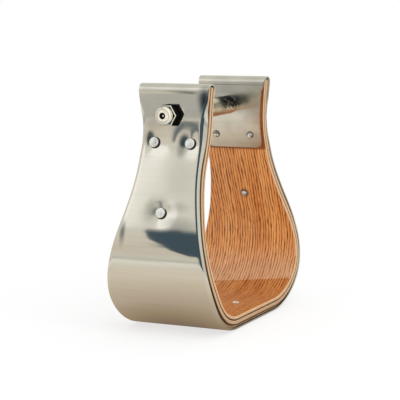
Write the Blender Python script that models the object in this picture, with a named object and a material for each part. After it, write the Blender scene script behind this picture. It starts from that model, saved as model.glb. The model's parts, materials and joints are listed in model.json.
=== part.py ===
"""Bell stirrup: bent wood plies in a rolled sheet-metal binding, with a strap roller on a bolt at the neck.

X runs from side to side, Y from front to back and Z up. The origin is under the middle of the tread.
A depth through the wall is measured inwards from the outer face of the binding.
A drop is measured from the top, down the outer face.
"""

import math

import bmesh
import bpy
from mathutils import Matrix, Vector

# Outline seen from the front
HEIGHT = 0.1588
STRAP_GAP = 0.0762
INSIDE_WIDTH = 0.1342
NECK_LENGTH = 0.0200
SHOULDER_RADIUS = 0.0600
BULGE_RADIUS = 0.0633
CORNER_RADIUS = 0.0464
SHORTEST_FLANK = 0.0100

# Depth from front to back
TOP_DEPTH = 0.0502
WAIST_DEPTH = 0.0448
WAIST_DROP = 0.0500
FLARE_DEPTH = 0.0749
FLARE_SHARE = 0.38
TREAD_DEPTH = 0.0718

# Wall
SHEET = 0.0009
BACK_PLY = 0.0021
CROSSBAND = 0.0007
CORE_PLY = 0.0022
FACE_PLY = 0.0018
GLUE_LINE = 0.00015
SEAT_GAP = 0.00025
FACE_ROUND = 0.0012
WOOD_TIP = 0.0005
ARRIS_LIMIT = 0.8

# Rolled lips and neck plates of the binding
LIP_STOP = 0.00025
LIP_RADIUS = 0.0030
LIP_EASE_START = 0.0250
LIP_EASE_END = 0.0550
LIP_RUN_IN = 0.0220
LIP_START_ANGLE = math.radians(8)
LIP_FULL_ANGLE = math.radians(62)
PLATE_DROP = 0.0460
PLATE_CORNER = 0.0050
PLATE_MARGIN = 0.0003
PLATE_RUN_IN = 0.0055

# Rivets and nails
NECK_RIVET_DROP = 0.0374
NECK_RIVET_SPACING = 0.0254
SIDE_RIVET_DROP = 0.0832
RIVET_SHANK = 0.0032
RIVET_HEAD = 0.0072
RIVET_HEAD_HEIGHT = 0.0017
RIVET_TAIL = 0.0050
RIVET_TAIL_HEIGHT = 0.0009
HEAD_GAP = 0.0002
HOLE_CLEARANCE = 0.00025
NAIL_SPACING = 0.0352
NAIL_STAGGER = 0.0096
NAIL_SHANK = 0.0024
NAIL_HEAD = 0.0044
NAIL_HEAD_HEIGHT = 0.0007
NAIL_POINT_LIFT = 0.0001

# Bolt, lock nut and roller
BOLT_DROP = 0.0195
BOLT_SETBACK = 0.0025
BOLT_DIAMETER = 0.0079
BOLT_HEAD_HEIGHT = 0.0053
BOLT_PROUD = 0.0003
BOLT_CUP = 0.0042
BOLT_CUP_DEPTH = 0.0012
BOLT_HOLE_CLEARANCE = 0.0004
HEX_FLATS = 0.0127
HEX_CHAMFER = 0.0005
NUT_HEX_HEIGHT = 0.0061
NUT_HEIGHT = 0.0098
NUT_COLLAR_WALL = 0.0005
NUT_INSERT_WALL = 0.00045
NUT_INSERT_HEIGHT = 0.0022
THREAD_CLEARANCE = 0.0002
ROLLER_DIAMETER = 0.0127
ROLLER_CLEARANCE = 0.00035
ROLLER_END_GAP = 0.0006
ROLLER_CHAMFER = 0.0004

# Facets
NECK_STEP = 0.0045
FLANK_STEP = 0.0200
ARC_STEP = math.radians(9)
ROLL_STEPS = 3
FOLD_STEPS = 8
DOME_STEPS = 4
WOOD_TOP_SHARES = (1.0, 0.75, 0.4)
HOLE_SIDES = 12
ROUND_SIDES = 24
RIVET_SIDES = 16
SMOOTH_ANGLE = math.radians(35)

# Finishes as (colour, roughness, metallic)
PALE_WOOD = ((0.68, 0.46, 0.26), 0.45, 0.0)
DARK_WOOD = ((0.17, 0.08, 0.035), 0.45, 0.0)
OAK = ((0.52, 0.23, 0.08), 0.35, 0.0)
POLISHED = ((0.72, 0.71, 0.68), 0.15, 1.0)
SATIN = ((0.72, 0.71, 0.68), 0.3, 1.0)
PLATED = ((0.66, 0.64, 0.58), 0.35, 1.0)
NYLON = ((0.82, 0.80, 0.70), 0.5, 0.0)

# Plies from the outside in, as name, thickness and finish
PLIES = (
    ("back_ply", BACK_PLY, PALE_WOOD),
    ("outer_crossband", CROSSBAND, DARK_WOOD),
    ("core_ply", CORE_PLY, PALE_WOOD),
    ("inner_crossband", CROSSBAND, DARK_WOOD),
    ("face_ply", FACE_PLY, OAK),
)


def layer_depths():
    """Outer and inner depth of each ply, stacked with a glue line between them."""
    depths = {}
    depth = SHEET + SEAT_GAP
    for name, thickness, _ in PLIES:
        depths[name] = (depth, depth + thickness)
        depth += thickness + GLUE_LINE
    return depths


LAYERS = layer_depths()
WALL = LAYERS["face_ply"][1]
PLATE_FACE = WALL + SEAT_GAP + SHEET
FOLD_RADIUS = PLATE_FACE / 2
NECK_X = STRAP_GAP / 2 + PLATE_FACE
BULGE_X = INSIDE_WIDTH / 2 + WALL
LIP_REACH = SHEET + SEAT_GAP + BACK_PLY - LIP_STOP - SHEET * math.cos(LIP_FULL_ANGLE)
NECK_LIP_RADIUS = LIP_REACH / (1 - math.cos(LIP_FULL_ANGLE))
BOLT_Z = HEIGHT - BOLT_DROP
UP = Vector((0.0, 0.0, 1.0))
TO_NUT = Vector((-1.0, 0.0, 0.0))


def shoulder_radius():
    """Radius of the shoulder, limited where it would leave too short a straight flank above the bulge."""
    reach = Vector((BULGE_X - NECK_X, HEIGHT - NECK_LENGTH - CORNER_RADIUS))
    room = (reach.length_squared - SHORTEST_FLANK ** 2) / (2 * reach.x)
    return min(SHOULDER_RADIUS, room - BULGE_RADIUS)


def wall_runs():
    """One side of the outer face, top to middle of the tread, as (length, turn) of each line or arc."""
    shoulder = Vector((NECK_X + shoulder_radius(), HEIGHT - NECK_LENGTH))
    bulge = Vector((BULGE_X - BULGE_RADIUS, CORNER_RADIUS))
    between = shoulder - bulge
    radii = shoulder_radius() + BULGE_RADIUS
    flare = math.atan2(between.y, between.x) - math.acos(radii / between.length)
    flank_length = math.sqrt(between.length_squared - radii ** 2)
    return (
        (NECK_LENGTH, 0.0),
        (shoulder_radius() * flare, flare),
        (flank_length, 0.0),
        (BULGE_RADIUS * flare, -flare),
        (CORNER_RADIUS * math.pi / 2, -math.pi / 2),
        (BULGE_X - CORNER_RADIUS, 0.0),
    )


WALL_RUNS = wall_runs()


def run_ends():
    """Drop at the end of each line or arc of the outer face."""
    ends = []
    drop = 0.0
    for length, _ in WALL_RUNS:
        drop += length
        ends.append(drop)
    return ends


SHOULDER_END, FLANK_END, BULGE_END, CORNER_END, MIDDLE = run_ends()[1:]
WIDEST_DROP = BULGE_END + FLARE_SHARE * (CORNER_END - BULGE_END)


def wall_at(drop):
    """Point of the outer face in (X, Z) and its outward normal, on the +X side."""
    x, z = NECK_X, HEIGHT
    heading = -math.pi / 2
    left = drop
    for length, turn in WALL_RUNS:
        part = min(left, length)
        if turn:
            swing = turn * part / length
            radius = length / turn
            x += radius * (math.sin(heading + swing) - math.sin(heading))
            z -= radius * (math.cos(heading + swing) - math.cos(heading))
            heading += swing
        else:
            x += part * math.cos(heading)
            z += part * math.sin(heading)
        left -= part
        if left <= 0:
            break
    return Vector((x, z)), Vector((-math.sin(heading), math.cos(heading)))


def wall_place(side, drop, y, depth):
    """World point at a drop, a depth in the wall and a place from front to back. side is 1 or -1."""
    point, normal = wall_at(drop)
    inside = point - depth * normal
    return Vector((side * inside.x, y, inside.y))


def smooth_step(start, end, value):
    share = min(max((value - start) / (end - start), 0.0), 1.0)
    return share * share * (3 - 2 * share)


def half_depth(drop):
    """Half the depth from front to back: narrow at the waist, widest round the lower corner."""
    if drop < WAIST_DROP:
        rise = 1 - drop / WAIST_DROP
        return (WAIST_DEPTH + (TOP_DEPTH - WAIST_DEPTH) * rise * rise) / 2
    widening = smooth_step(WAIST_DROP, WIDEST_DROP, drop) * (FLARE_DEPTH - WAIST_DEPTH)
    easing = smooth_step(WIDEST_DROP, CORNER_END, drop) * (FLARE_DEPTH - TREAD_DEPTH)
    return (WAIST_DEPTH + widening - easing) / 2


def lip_angle(drop):
    """How far the binding's edge is rolled over the wood on the outside, from a slight start at the fold."""
    share = smooth_step(FOLD_RADIUS, FOLD_RADIUS + LIP_RUN_IN, drop)
    return LIP_START_ANGLE + (LIP_FULL_ANGLE - LIP_START_ANGLE) * share


def lip_radius(drop):
    """Radius of the rolled edge: as wide at the neck as the back ply allows, tighter below."""
    return NECK_LIP_RADIUS + (LIP_RADIUS - NECK_LIP_RADIUS) * smooth_step(LIP_EASE_START, LIP_EASE_END, drop)


def plate_inset(drop):
    """How far the neck plate's edge stays inside the edge of the wood, clear of its rounding."""
    share = smooth_step(FOLD_RADIUS, FOLD_RADIUS + PLATE_RUN_IN, drop)
    return (FACE_ROUND + PLATE_MARGIN) * share


def spread(start, end, longest):
    """Even steps from start to end, with the end left out."""
    count = max(1, math.ceil((end - start) / longest - 1e-6))
    return [start + (end - start) * k / count for k in range(count)]


def neck_drops(end):
    """Stations down the neck from the fold line, with the end left out."""
    return spread(FOLD_RADIUS, end, NECK_STEP)


def outer_drops():
    """Stations from the fold line down one side to the middle of the tread."""
    drops = neck_drops(SHOULDER_END)
    drops += spread(SHOULDER_END, FLANK_END, FLANK_STEP)
    drops += spread(FLANK_END, BULGE_END, BULGE_RADIUS * ARC_STEP)
    drops += spread(BULGE_END, CORNER_END, CORNER_RADIUS * ARC_STEP)
    return drops + [CORNER_END, MIDDLE]


def wood_radius():
    return FOLD_RADIUS - SHEET - SEAT_GAP


def wood_rise():
    """How far the wood stands up into the round fold before the outermost plies run out to their tips."""
    reach = max(LAYERS["face_ply"][0] - FOLD_RADIUS, FOLD_RADIUS - LAYERS["back_ply"][1])
    return math.sqrt(wood_radius() ** 2 - (reach + WOOD_TIP) ** 2)


def wood_drops():
    """Stations of the plies: a rounded top inside the fold, then the same stations as the binding."""
    rise = wood_rise()
    top = [FOLD_RADIUS - rise * share for share in WOOD_TOP_SHARES]
    return top + outer_drops()


def roll(steps):
    return [k / steps for k in range(steps + 1)]


def ply_outline(name, drop):
    """Section across a ply as (y, depth), rounded to fit the binding's roll or for the foot."""
    outer, inner = LAYERS[name]
    half = half_depth(drop)
    if drop < FOLD_RADIUS:
        reach = math.sqrt(wood_radius() ** 2 - (FOLD_RADIUS - drop) ** 2)
        outer = max(outer, FOLD_RADIUS - reach)
        inner = min(inner, FOLD_RADIUS + reach)
    if name == "back_ply":
        angle, under = lip_angle(drop), lip_radius(drop) - SHEET - SEAT_GAP
        flat = half - lip_radius(drop) * math.sin(angle)
        turns = [angle * share for share in roll(ROLL_STEPS)]
        right = [(flat + under * math.sin(a), outer + under - under * math.cos(a)) for a in turns]
        right.append((right[-1][0], inner))
    elif name == "face_ply":
        arris = min(FACE_ROUND, ARRIS_LIMIT * (inner - outer))
        turns = [math.pi / 2 * share for share in reversed(roll(ROLL_STEPS))]
        right = [(half - arris + arris * math.sin(a), inner - arris + arris * math.cos(a)) for a in turns]
        right.insert(0, (half, outer))
    else:
        right = [(half, outer), (half, inner)]
    return right + [(-y, d) for y, d in reversed(right)]


def sheet_outline(half, angle, radius):
    """Section across the sheet as (y, depth): flat in the middle, rolled towards the wood at both edges."""
    flat = half - radius * math.sin(angle)
    under = radius - SHEET
    outer, inner = [], []
    for share in roll(ROLL_STEPS):
        a = angle * share
        outer.append((flat + radius * math.sin(a), radius - radius * math.cos(a)))
        inner.append((flat + under * math.sin(a), radius - under * math.cos(a)))
    right = outer + inner[::-1]
    return right + [(-y, d) for y, d in reversed(right)]


def binding_outer_ring(side, drop):
    outline = sheet_outline(half_depth(drop), lip_angle(drop), lip_radius(drop))
    return [wall_place(side, drop, y, d) for y, d in outline]


def binding_fold_ring(side, share):
    """Ring of the half-round fold over the top. share runs from 0 on the outside to 1 at the plate."""
    swing = math.pi * share
    drop = FOLD_RADIUS * (1 - math.sin(swing))
    ring = []
    for y, depth in sheet_outline(half_depth(drop), LIP_START_ANGLE, NECK_LIP_RADIUS):
        reach = FOLD_RADIUS - depth
        x = NECK_X - FOLD_RADIUS + reach * math.cos(swing)
        ring.append(Vector((side * x, y, HEIGHT - FOLD_RADIUS + reach * math.sin(swing))))
    return ring


def plate_ring(side, drop, trim):
    """Ring of a neck plate. trim narrows it at the rounded lower corners."""
    half = half_depth(drop) - plate_inset(drop) - trim
    outline = sheet_outline(half, LIP_START_ANGLE, NECK_LIP_RADIUS)
    return [wall_place(side, drop, y, PLATE_FACE - d) for y, d in outline]


def binding_side(side):
    """Rings of one side of the binding, from the end of its neck plate to the middle of the tread."""
    rings = []
    corner_start = PLATE_DROP - PLATE_CORNER
    for share in reversed(roll(ROLL_STEPS + 1)):
        swing = math.pi / 2 * share
        drop = corner_start + PLATE_CORNER * math.sin(swing)
        rings.append(plate_ring(side, drop, PLATE_CORNER * (1 - math.cos(swing))))
    rings += [plate_ring(side, drop, 0.0) for drop in reversed(neck_drops(corner_start))]
    rings += [binding_fold_ring(side, 1 - k / FOLD_STEPS) for k in range(1, FOLD_STEPS)]
    rings += [binding_outer_ring(side, drop) for drop in outer_drops()]
    return rings


def ply_side(name, side):
    return [[wall_place(side, drop, y, d) for y, d in ply_outline(name, drop)] for drop in wood_drops()]


def both_sides(left, right):
    """Joins the rings of two sides at the middle of the tread, which they share."""
    return left + right[-2::-1]


def clear_scene():
    for obj in list(bpy.data.objects):
        bpy.data.objects.remove(obj, do_unlink=True)


def surface(name, colour, roughness, metallic):
    made = bpy.data.materials.new(name)
    made.use_nodes = True
    shader = made.node_tree.nodes["Principled BSDF"]
    shader.inputs["Base Color"].default_value = (*colour, 1.0)
    shader.inputs["Roughness"].default_value = roughness
    shader.inputs["Metallic"].default_value = metallic
    made.diffuse_color = (*colour, 1.0)
    return made


def add_rings(mesh, rings, closed):
    """Skins a row of rings. A closed row joins its last ring to its first, an open one gets caps or poles."""
    rows = [[mesh.verts.new(point) for point in ring] for ring in rings]
    pairs = list(zip(rows, rows[1:] + rows[:1])) if closed else list(zip(rows, rows[1:]))
    for first, second in pairs:
        count = max(len(first), len(second))
        for k in range(count):
            corners = [first[k % len(first)], first[(k + 1) % len(first)]]
            corners += [second[(k + 1) % len(second)], second[k % len(second)]]
            mesh.faces.new(list(dict.fromkeys(corners)))
    if not closed:
        for end in (rows[0], rows[-1]):
            if len(end) > 2:
                mesh.faces.new(end)


def make_object(name, rows, closed=False):
    """New object whose mesh is skinned from one or more rows of rings, with its faces pointing out."""
    mesh = bmesh.new()
    for rings in rows:
        add_rings(mesh, rings, closed)
    bmesh.ops.recalc_face_normals(mesh, faces=mesh.faces)
    data = bpy.data.meshes.new(name)
    mesh.to_mesh(data)
    mesh.free()
    data.shade_smooth()
    data.set_sharp_from_angle(angle=SMOOTH_ANGLE)
    made = bpy.data.objects.new(name, data)
    bpy.context.collection.objects.link(made)
    return made


def turned_ring(height, radius, hexagon=False, sides=ROUND_SIDES):
    """Ring about the local Z axis. A hexagon has radius to its flats, with a corner on the local X axis."""
    if radius == 0:
        return [Vector((0.0, 0.0, height))]
    ring = []
    for k in range(sides):
        angle = 2 * math.pi * k / sides
        reach = radius
        if hexagon:
            off_flat = (angle % (math.pi / 3)) - math.pi / 6
            reach = radius / math.cos(off_flat)
        ring.append(Vector((reach * math.cos(angle), reach * math.sin(angle), height)))
    return ring


def turn_to(axis):
    """Rotation that takes the local Z to an axis square to Y, and the local X to Y."""
    along = axis.normalized()
    across = Vector((0.0, 1.0, 0.0))
    return Matrix((across, along.cross(across), along)).transposed()


def stand(obj, origin, axis):
    obj.rotation_euler = turn_to(axis).to_euler()
    obj.location = origin


def wall_axis(side, drop):
    normal = wall_at(drop)[1]
    return Vector((side * normal.x, 0.0, normal.y))


def dome(start, height, radius):
    """Heights and radii of a low dome, from its rim up to its pole."""
    angles = [math.pi / 2 * share for share in roll(DOME_STEPS)[:-1]]
    rows = [(start + height * math.sin(angle), radius * math.cos(angle)) for angle in angles]
    return rows + [(start + height, 0)]


def rivet(name, grip):
    """Rivet with its origin on the outer face of the binding and a domed head outside."""
    shank = RIVET_SHANK / 2
    tail_seat = -grip - HEAD_GAP
    head = dome(HEAD_GAP, RIVET_HEAD_HEIGHT, RIVET_HEAD / 2)
    tail = dome(tail_seat, -RIVET_TAIL_HEIGHT, RIVET_TAIL / 2)
    profile = tail[::-1] + [(tail_seat, shank), (HEAD_GAP, shank)] + head
    rings = [turned_ring(height, radius, sides=RIVET_SIDES) for height, radius in profile]
    return make_object(name, [rings])


def nail(name):
    """Nail with its origin on top of the tread and its point flush with the metal below."""
    shank = NAIL_SHANK / 2
    head = dome(HEAD_GAP, NAIL_HEAD_HEIGHT, NAIL_HEAD / 2)
    point = NAIL_POINT_LIFT - WALL
    profile = [(point, 0), (point, shank), (HEAD_GAP, shank)] + head
    rings = [turned_ring(height, radius, sides=RIVET_SIDES) for height, radius in profile]
    return make_object(name, [rings])


def rivet_plan():
    """Name, side, drop, place from front to back and grip of every rivet."""
    plan = []
    for word, side in (("left", -1), ("right", 1)):
        for end, sign in (("front", -1), ("rear", 1)):
            y = sign * NECK_RIVET_SPACING / 2
            plan.append(("neck_rivet_%s_%s" % (word, end), side, NECK_RIVET_DROP, y, PLATE_FACE))
        plan.append(("side_rivet_%s" % word, side, SIDE_RIVET_DROP, 0.0, WALL))
    return plan


def nail_plan():
    """Name and place on the tread of each nail."""
    return [
        ("tread_nail_front", NAIL_STAGGER / 2, -NAIL_SPACING / 2),
        ("tread_nail_rear", -NAIL_STAGGER / 2, NAIL_SPACING / 2),
    ]


def drill(origin, axis, start, end, radius, sides):
    """Rings of a straight hole from start to end along an axis square to Y."""
    turn = turn_to(axis)
    ends = [turned_ring(reach, radius, sides=sides) for reach in (start, end)]
    return [[origin + turn @ point for point in ring] for ring in ends]


def hole_cutter():
    """One hidden cutter with every hole through the wall."""
    past = SHEET * 2
    rows = []
    for _, side, drop, y, grip in rivet_plan():
        origin = wall_place(side, drop, y, 0.0)
        radius = RIVET_SHANK / 2 + HOLE_CLEARANCE
        rows.append(drill(origin, wall_axis(side, drop), -grip - past, past, radius, HOLE_SIDES))
    for _, x, y in nail_plan():
        radius = NAIL_SHANK / 2 + HOLE_CLEARANCE
        rows.append(drill(Vector((x, y, 0.0)), UP, -past, WALL + past, radius, HOLE_SIDES))
    radius = BOLT_DIAMETER / 2 + BOLT_HOLE_CLEARANCE
    rows.append(drill(bolt_centre(), TO_NUT, -BULGE_X, BULGE_X, radius, ROUND_SIDES))
    cutter = make_object("hole_cutter", rows)
    cutter.hide_render = True
    cutter.display_type = "WIRE"
    return cutter


def cut_holes(obj, cutter):
    cut = obj.modifiers.new("holes", "BOOLEAN")
    cut.operation = "DIFFERENCE"
    cut.solver = "EXACT"
    cut.object = cutter


def bolt_centre():
    return Vector((0.0, BOLT_SETBACK, BOLT_Z))


def seat_x():
    """X of the faces under the nut and the bolt head, just clear of the shoulder at their lower flats."""
    below = HEIGHT - NECK_LENGTH - (BOLT_Z - HEX_FLATS / 2)
    curve = shoulder_radius() - math.sqrt(shoulder_radius() ** 2 - max(below, 0.0) ** 2)
    return NECK_X + curve + SEAT_GAP


def hex_corner_drop():
    """Height lost at a hexagon's corners to a 30 degree chamfer."""
    flat = HEX_FLATS / 2
    return (flat / math.cos(math.pi / 6) - flat) * math.tan(math.pi / 6)


def hanger_bolt():
    """Bolt with its local Z towards the nut and its origin at the middle of the roller."""
    shank = BOLT_DIAMETER / 2
    flat = HEX_FLATS / 2
    end = seat_x() + NUT_HEIGHT + BOLT_PROUD
    seat = -seat_x()
    top = seat - BOLT_HEAD_HEIGHT
    rings = [
        turned_ring(end - BOLT_CUP_DEPTH, 0),
        turned_ring(end, BOLT_CUP / 2),
        turned_ring(end, shank - HEX_CHAMFER),
        turned_ring(end - HEX_CHAMFER, shank),
        turned_ring(seat, shank),
        turned_ring(seat, flat - HEX_CHAMFER),
        turned_ring(seat - HEX_CHAMFER, flat, hexagon=True),
        turned_ring(top + hex_corner_drop(), flat, hexagon=True),
        turned_ring(top, flat - HEX_CHAMFER),
        turned_ring(top, 0),
    ]
    return make_object("hanger_bolt", [rings])


def nut_bore():
    return BOLT_DIAMETER / 2 + THREAD_CLEARANCE


def insert_radius():
    return nut_bore() + NUT_INSERT_WALL


def nut_pocket():
    return insert_radius() + THREAD_CLEARANCE


def lock_nut():
    """Nut with its origin at its seat and its local Z pointing away from the neck."""
    flat = HEX_FLATS / 2
    collar = nut_pocket() + NUT_COLLAR_WALL
    floor = NUT_HEIGHT - NUT_INSERT_HEIGHT - THREAD_CLEARANCE
    rings = [
        turned_ring(0.0, nut_bore()),
        turned_ring(0.0, flat - HEX_CHAMFER),
        turned_ring(HEX_CHAMFER, flat, hexagon=True),
        turned_ring(NUT_HEX_HEIGHT - hex_corner_drop(), flat, hexagon=True),
        turned_ring(NUT_HEX_HEIGHT, collar),
        turned_ring(NUT_HEIGHT - HEX_CHAMFER, collar),
        turned_ring(NUT_HEIGHT, collar - HEX_CHAMFER),
        turned_ring(NUT_HEIGHT, nut_pocket()),
        turned_ring(floor, nut_pocket()),
        turned_ring(floor, nut_bore()),
    ]
    return make_object("lock_nut", [rings], closed=True)


def nut_insert():
    """Nylon ring in the collar of the nut, with the nut's origin and axis."""
    bottom = NUT_HEIGHT - NUT_INSERT_HEIGHT
    rings = [
        turned_ring(bottom, nut_bore()),
        turned_ring(bottom, insert_radius()),
        turned_ring(NUT_HEIGHT, insert_radius()),
        turned_ring(NUT_HEIGHT, nut_bore()),
    ]
    return make_object("nut_insert", [rings], closed=True)


def strap_roller():
    """Tube that turns on the bolt, with its origin on the bolt's axis."""
    end = STRAP_GAP / 2 - ROLLER_END_GAP
    outside = ROLLER_DIAMETER / 2
    bore = BOLT_DIAMETER / 2 + ROLLER_CLEARANCE
    rings = [
        turned_ring(-end, bore),
        turned_ring(-end, outside - ROLLER_CHAMFER),
        turned_ring(-end + ROLLER_CHAMFER, outside),
        turned_ring(end - ROLLER_CHAMFER, outside),
        turned_ring(end, outside - ROLLER_CHAMFER),
        turned_ring(end, bore),
    ]
    return make_object("strap_roller", [rings], closed=True)


def finish(obj, parent, look):
    obj.data.materials.append(surface(obj.name + "_finish", *look))
    obj.parent = parent


def build_body(parent):
    """Plies, binding, rivets and nails."""
    cutter = hole_cutter()
    for name, _, look in PLIES:
        ply = make_object(name, [both_sides(ply_side(name, -1), ply_side(name, 1))])
        cut_holes(ply, cutter)
        finish(ply, parent, look)
    binding = make_object("metal_binding", [both_sides(binding_side(-1), binding_side(1))])
    cut_holes(binding, cutter)
    finish(binding, parent, POLISHED)
    for name, side, drop, y, grip in rivet_plan():
        made = rivet(name, grip)
        stand(made, wall_place(side, drop, y, 0.0), wall_axis(side, drop))
        finish(made, parent, SATIN)
    for name, x, y in nail_plan():
        made = nail(name)
        stand(made, Vector((x, y, WALL)), UP)
        finish(made, parent, SATIN)


def build_hanger(parent):
    """Bolt, nut and roller across the neck, with the nut on the left."""
    nut_seat = bolt_centre() + seat_x() * TO_NUT
    bolt = hanger_bolt()
    stand(bolt, bolt_centre(), TO_NUT)
    finish(bolt, parent, PLATED)
    nut = lock_nut()
    stand(nut, nut_seat, TO_NUT)
    finish(nut, parent, PLATED)
    insert = nut_insert()
    stand(insert, nut_seat, TO_NUT)
    finish(insert, parent, NYLON)
    roller = strap_roller()
    stand(roller, bolt_centre(), TO_NUT)
    finish(roller, parent, PLATED)


def main():
    clear_scene()
    stirrup = bpy.data.objects.new("stirrup", None)
    bpy.context.collection.objects.link(stirrup)
    build_body(stirrup)
    build_hanger(stirrup)


main()
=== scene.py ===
# %% [markdown]
# # A bell stirrup of bent wood in a polished metal binding
#
# The real stirrup is a strip of laminated wood, bent into the outline of a bell and bound on the outside
# with polished sheet. A roller on a bolt crosses the neck and carries the strap. The engineering model is
# loaded as a fixed frame, and this lesson dresses it piece by piece: first camera, floor and light, then the
# wood, the binding, the rivets and the hanger, and last the finishes. All lengths are in metres.

# %% Load the frame
import json
import math

import bmesh
import bpy
import numpy as np
from mathutils import Matrix, Vector, noise


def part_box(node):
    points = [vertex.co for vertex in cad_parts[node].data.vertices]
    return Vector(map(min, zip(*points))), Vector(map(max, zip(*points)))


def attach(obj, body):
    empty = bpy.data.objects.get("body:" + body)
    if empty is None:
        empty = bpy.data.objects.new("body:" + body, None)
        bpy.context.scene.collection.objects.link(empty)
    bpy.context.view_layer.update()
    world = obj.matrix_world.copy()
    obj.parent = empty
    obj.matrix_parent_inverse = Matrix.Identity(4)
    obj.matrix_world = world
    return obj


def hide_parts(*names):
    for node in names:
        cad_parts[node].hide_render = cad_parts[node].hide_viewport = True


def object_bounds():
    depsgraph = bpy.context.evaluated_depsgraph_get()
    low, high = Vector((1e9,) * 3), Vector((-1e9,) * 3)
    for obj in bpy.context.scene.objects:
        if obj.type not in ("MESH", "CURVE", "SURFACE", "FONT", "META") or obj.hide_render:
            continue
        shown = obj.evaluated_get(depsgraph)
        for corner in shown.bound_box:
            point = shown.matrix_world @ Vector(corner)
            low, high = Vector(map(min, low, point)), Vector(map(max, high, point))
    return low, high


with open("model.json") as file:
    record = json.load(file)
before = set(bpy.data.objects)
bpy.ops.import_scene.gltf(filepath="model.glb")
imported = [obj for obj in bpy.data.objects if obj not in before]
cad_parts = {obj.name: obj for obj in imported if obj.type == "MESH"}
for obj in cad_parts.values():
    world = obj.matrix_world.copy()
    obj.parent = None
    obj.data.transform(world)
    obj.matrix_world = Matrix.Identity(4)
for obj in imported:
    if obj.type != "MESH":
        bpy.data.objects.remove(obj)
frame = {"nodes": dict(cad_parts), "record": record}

cad_low, cad_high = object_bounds()
print("Frame of", len(frame["nodes"]), "nodes, size", [round(v, 4) for v in cad_high - cad_low])

# %% [markdown]
# ## Camera
#
# The photograph was taken with a long lens from the left, a little above the tread. The place and the
# direction come from fitting the stirrup's outline to the picture. Three angles and a place say the same as
# a matrix does, and can be read.

# %% Place the camera
CAMERA_PLACE = Vector((-0.8738, -0.4226, 0.2165))
CAMERA_AZIMUTH = math.radians(-63.88)
CAMERA_ELEVATION = math.radians(8.09)
CAMERA_ROLL = math.radians(-0.67)
CAMERA_LENS = 132.3
SENSOR_WIDTH = 36.0


def select_none():
    bpy.ops.object.select_all(action="DESELECT")


def direction(azimuth, elevation):
    """Unit vector towards a place seen at an azimuth from the front (-Y) and an elevation."""
    level = math.cos(elevation)
    return Vector((math.sin(azimuth) * level, -math.cos(azimuth) * level, math.sin(elevation)))


def place_camera():
    back = direction(CAMERA_AZIMUTH, CAMERA_ELEVATION)
    level = Vector((math.cos(CAMERA_AZIMUTH), math.sin(CAMERA_AZIMUTH), 0.0))
    right = math.cos(CAMERA_ROLL) * level + math.sin(CAMERA_ROLL) * back.cross(level)
    turn = Matrix((right, back.cross(right), back)).transposed()
    bpy.ops.object.camera_add(location=CAMERA_PLACE, rotation=turn.to_euler())
    camera = bpy.context.object
    camera.name = "photo_camera"
    camera.data.lens = CAMERA_LENS
    camera.data.sensor_width = SENSOR_WIDTH
    bpy.context.scene.camera = camera
    return camera


select_none()
bpy.context.scene.view_settings.view_transform = "Standard"
camera = place_camera()
print("Camera at", [round(v, 3) for v in camera.location], "with a lens of", CAMERA_LENS, "mm")

# %% [markdown]
# ## Node helpers
#
# Every finish below is a small tree of shader nodes. A few helpers add a node with its settings and inputs,
# and link whatever is handed to them as a socket, so that a finish reads like a list of its parts.


# %% Node helpers
def fill(tree, node, **inputs):
    """Sets inputs of a node, named with _ for a space, to values or to the sockets of other nodes."""
    for key, value in inputs.items():
        socket = node.inputs[int(key[1:])] if key[1:].isdigit() else node.inputs[key.replace("_", " ")]
        if isinstance(value, bpy.types.NodeSocket):
            tree.links.new(value, socket)
        else:
            socket.default_value = value


def add_node(tree, kind, settings=None, **inputs):
    """New shader node with its settings and inputs."""
    node = tree.nodes.new("ShaderNode" + kind)
    for key, value in (settings or {}).items():
        setattr(node, key, value)
    fill(tree, node, **inputs)
    return node


def math_node(tree, operation, first, second=0.0):
    return add_node(tree, "Math", {"operation": operation}, i0=first, i1=second).outputs[0]


def plus(tree, first, second):
    return math_node(tree, "ADD", first, second)


def times(tree, first, second):
    return math_node(tree, "MULTIPLY", first, second)


def most(tree, first, second):
    return math_node(tree, "MAXIMUM", first, second)


def vector_node(tree, operation, first, second=(0.0, 0.0, 0.0)):
    return add_node(tree, "VectorMath", {"operation": operation}, i0=first, i1=second).outputs


def axes(tree, vector):
    """The three numbers of a vector, named X, Y and Z."""
    return add_node(tree, "SeparateXYZ", Vector=vector).outputs


def remap(tree, value, low, high, to_low=0.0, to_high=1.0):
    """Smooth step of a value from one range into another."""
    return add_node(tree, "MapRange", {"interpolation_type": "SMOOTHSTEP"}, Value=value, From_Min=low,
                    From_Max=high, To_Min=to_low, To_Max=to_high).outputs["Result"]


print("Helpers for numbers ready")


# %% Helpers for colours and rays
def mix_colour(tree, factor, first, second, blend="MIX"):
    """Mix of two colours, each a tuple or a socket."""
    first, second = ((*colour, 1.0) if isinstance(colour, tuple) else colour for colour in (first, second))
    settings = {"data_type": "RGBA", "blend_type": blend}
    return add_node(tree, "Mix", settings, i0=factor, i6=first, i7=second).outputs[2]


def ramp(tree, value, low, high, stops):
    """Colour ramp over a range of values, with stops as (value, colour)."""
    share = add_node(tree, "MapRange", Value=value, From_Min=low, From_Max=high).outputs[0]
    node = add_node(tree, "ValToRGB", Fac=share)
    elements = node.color_ramp.elements
    for _ in stops[2:]:
        elements.new(0.5)
    for element, (stop, colour) in zip(elements, stops):
        element.position = (stop - low) / (high - low)
        element.color = (*colour, 1.0)
    return node.outputs["Color"]


def own_place(tree):
    """Place on a piece, in its own coordinates."""
    return add_node(tree, "TexCoord").outputs["Object"]


def ray_masks(tree):
    """Masks of the rays that the camera sends out, and of those that metal or glass sends on."""
    ray = add_node(tree, "LightPath").outputs
    return ray["Is Camera Ray"], most(tree, ray["Is Glossy Ray"], ray["Is Transmission Ray"])


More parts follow.
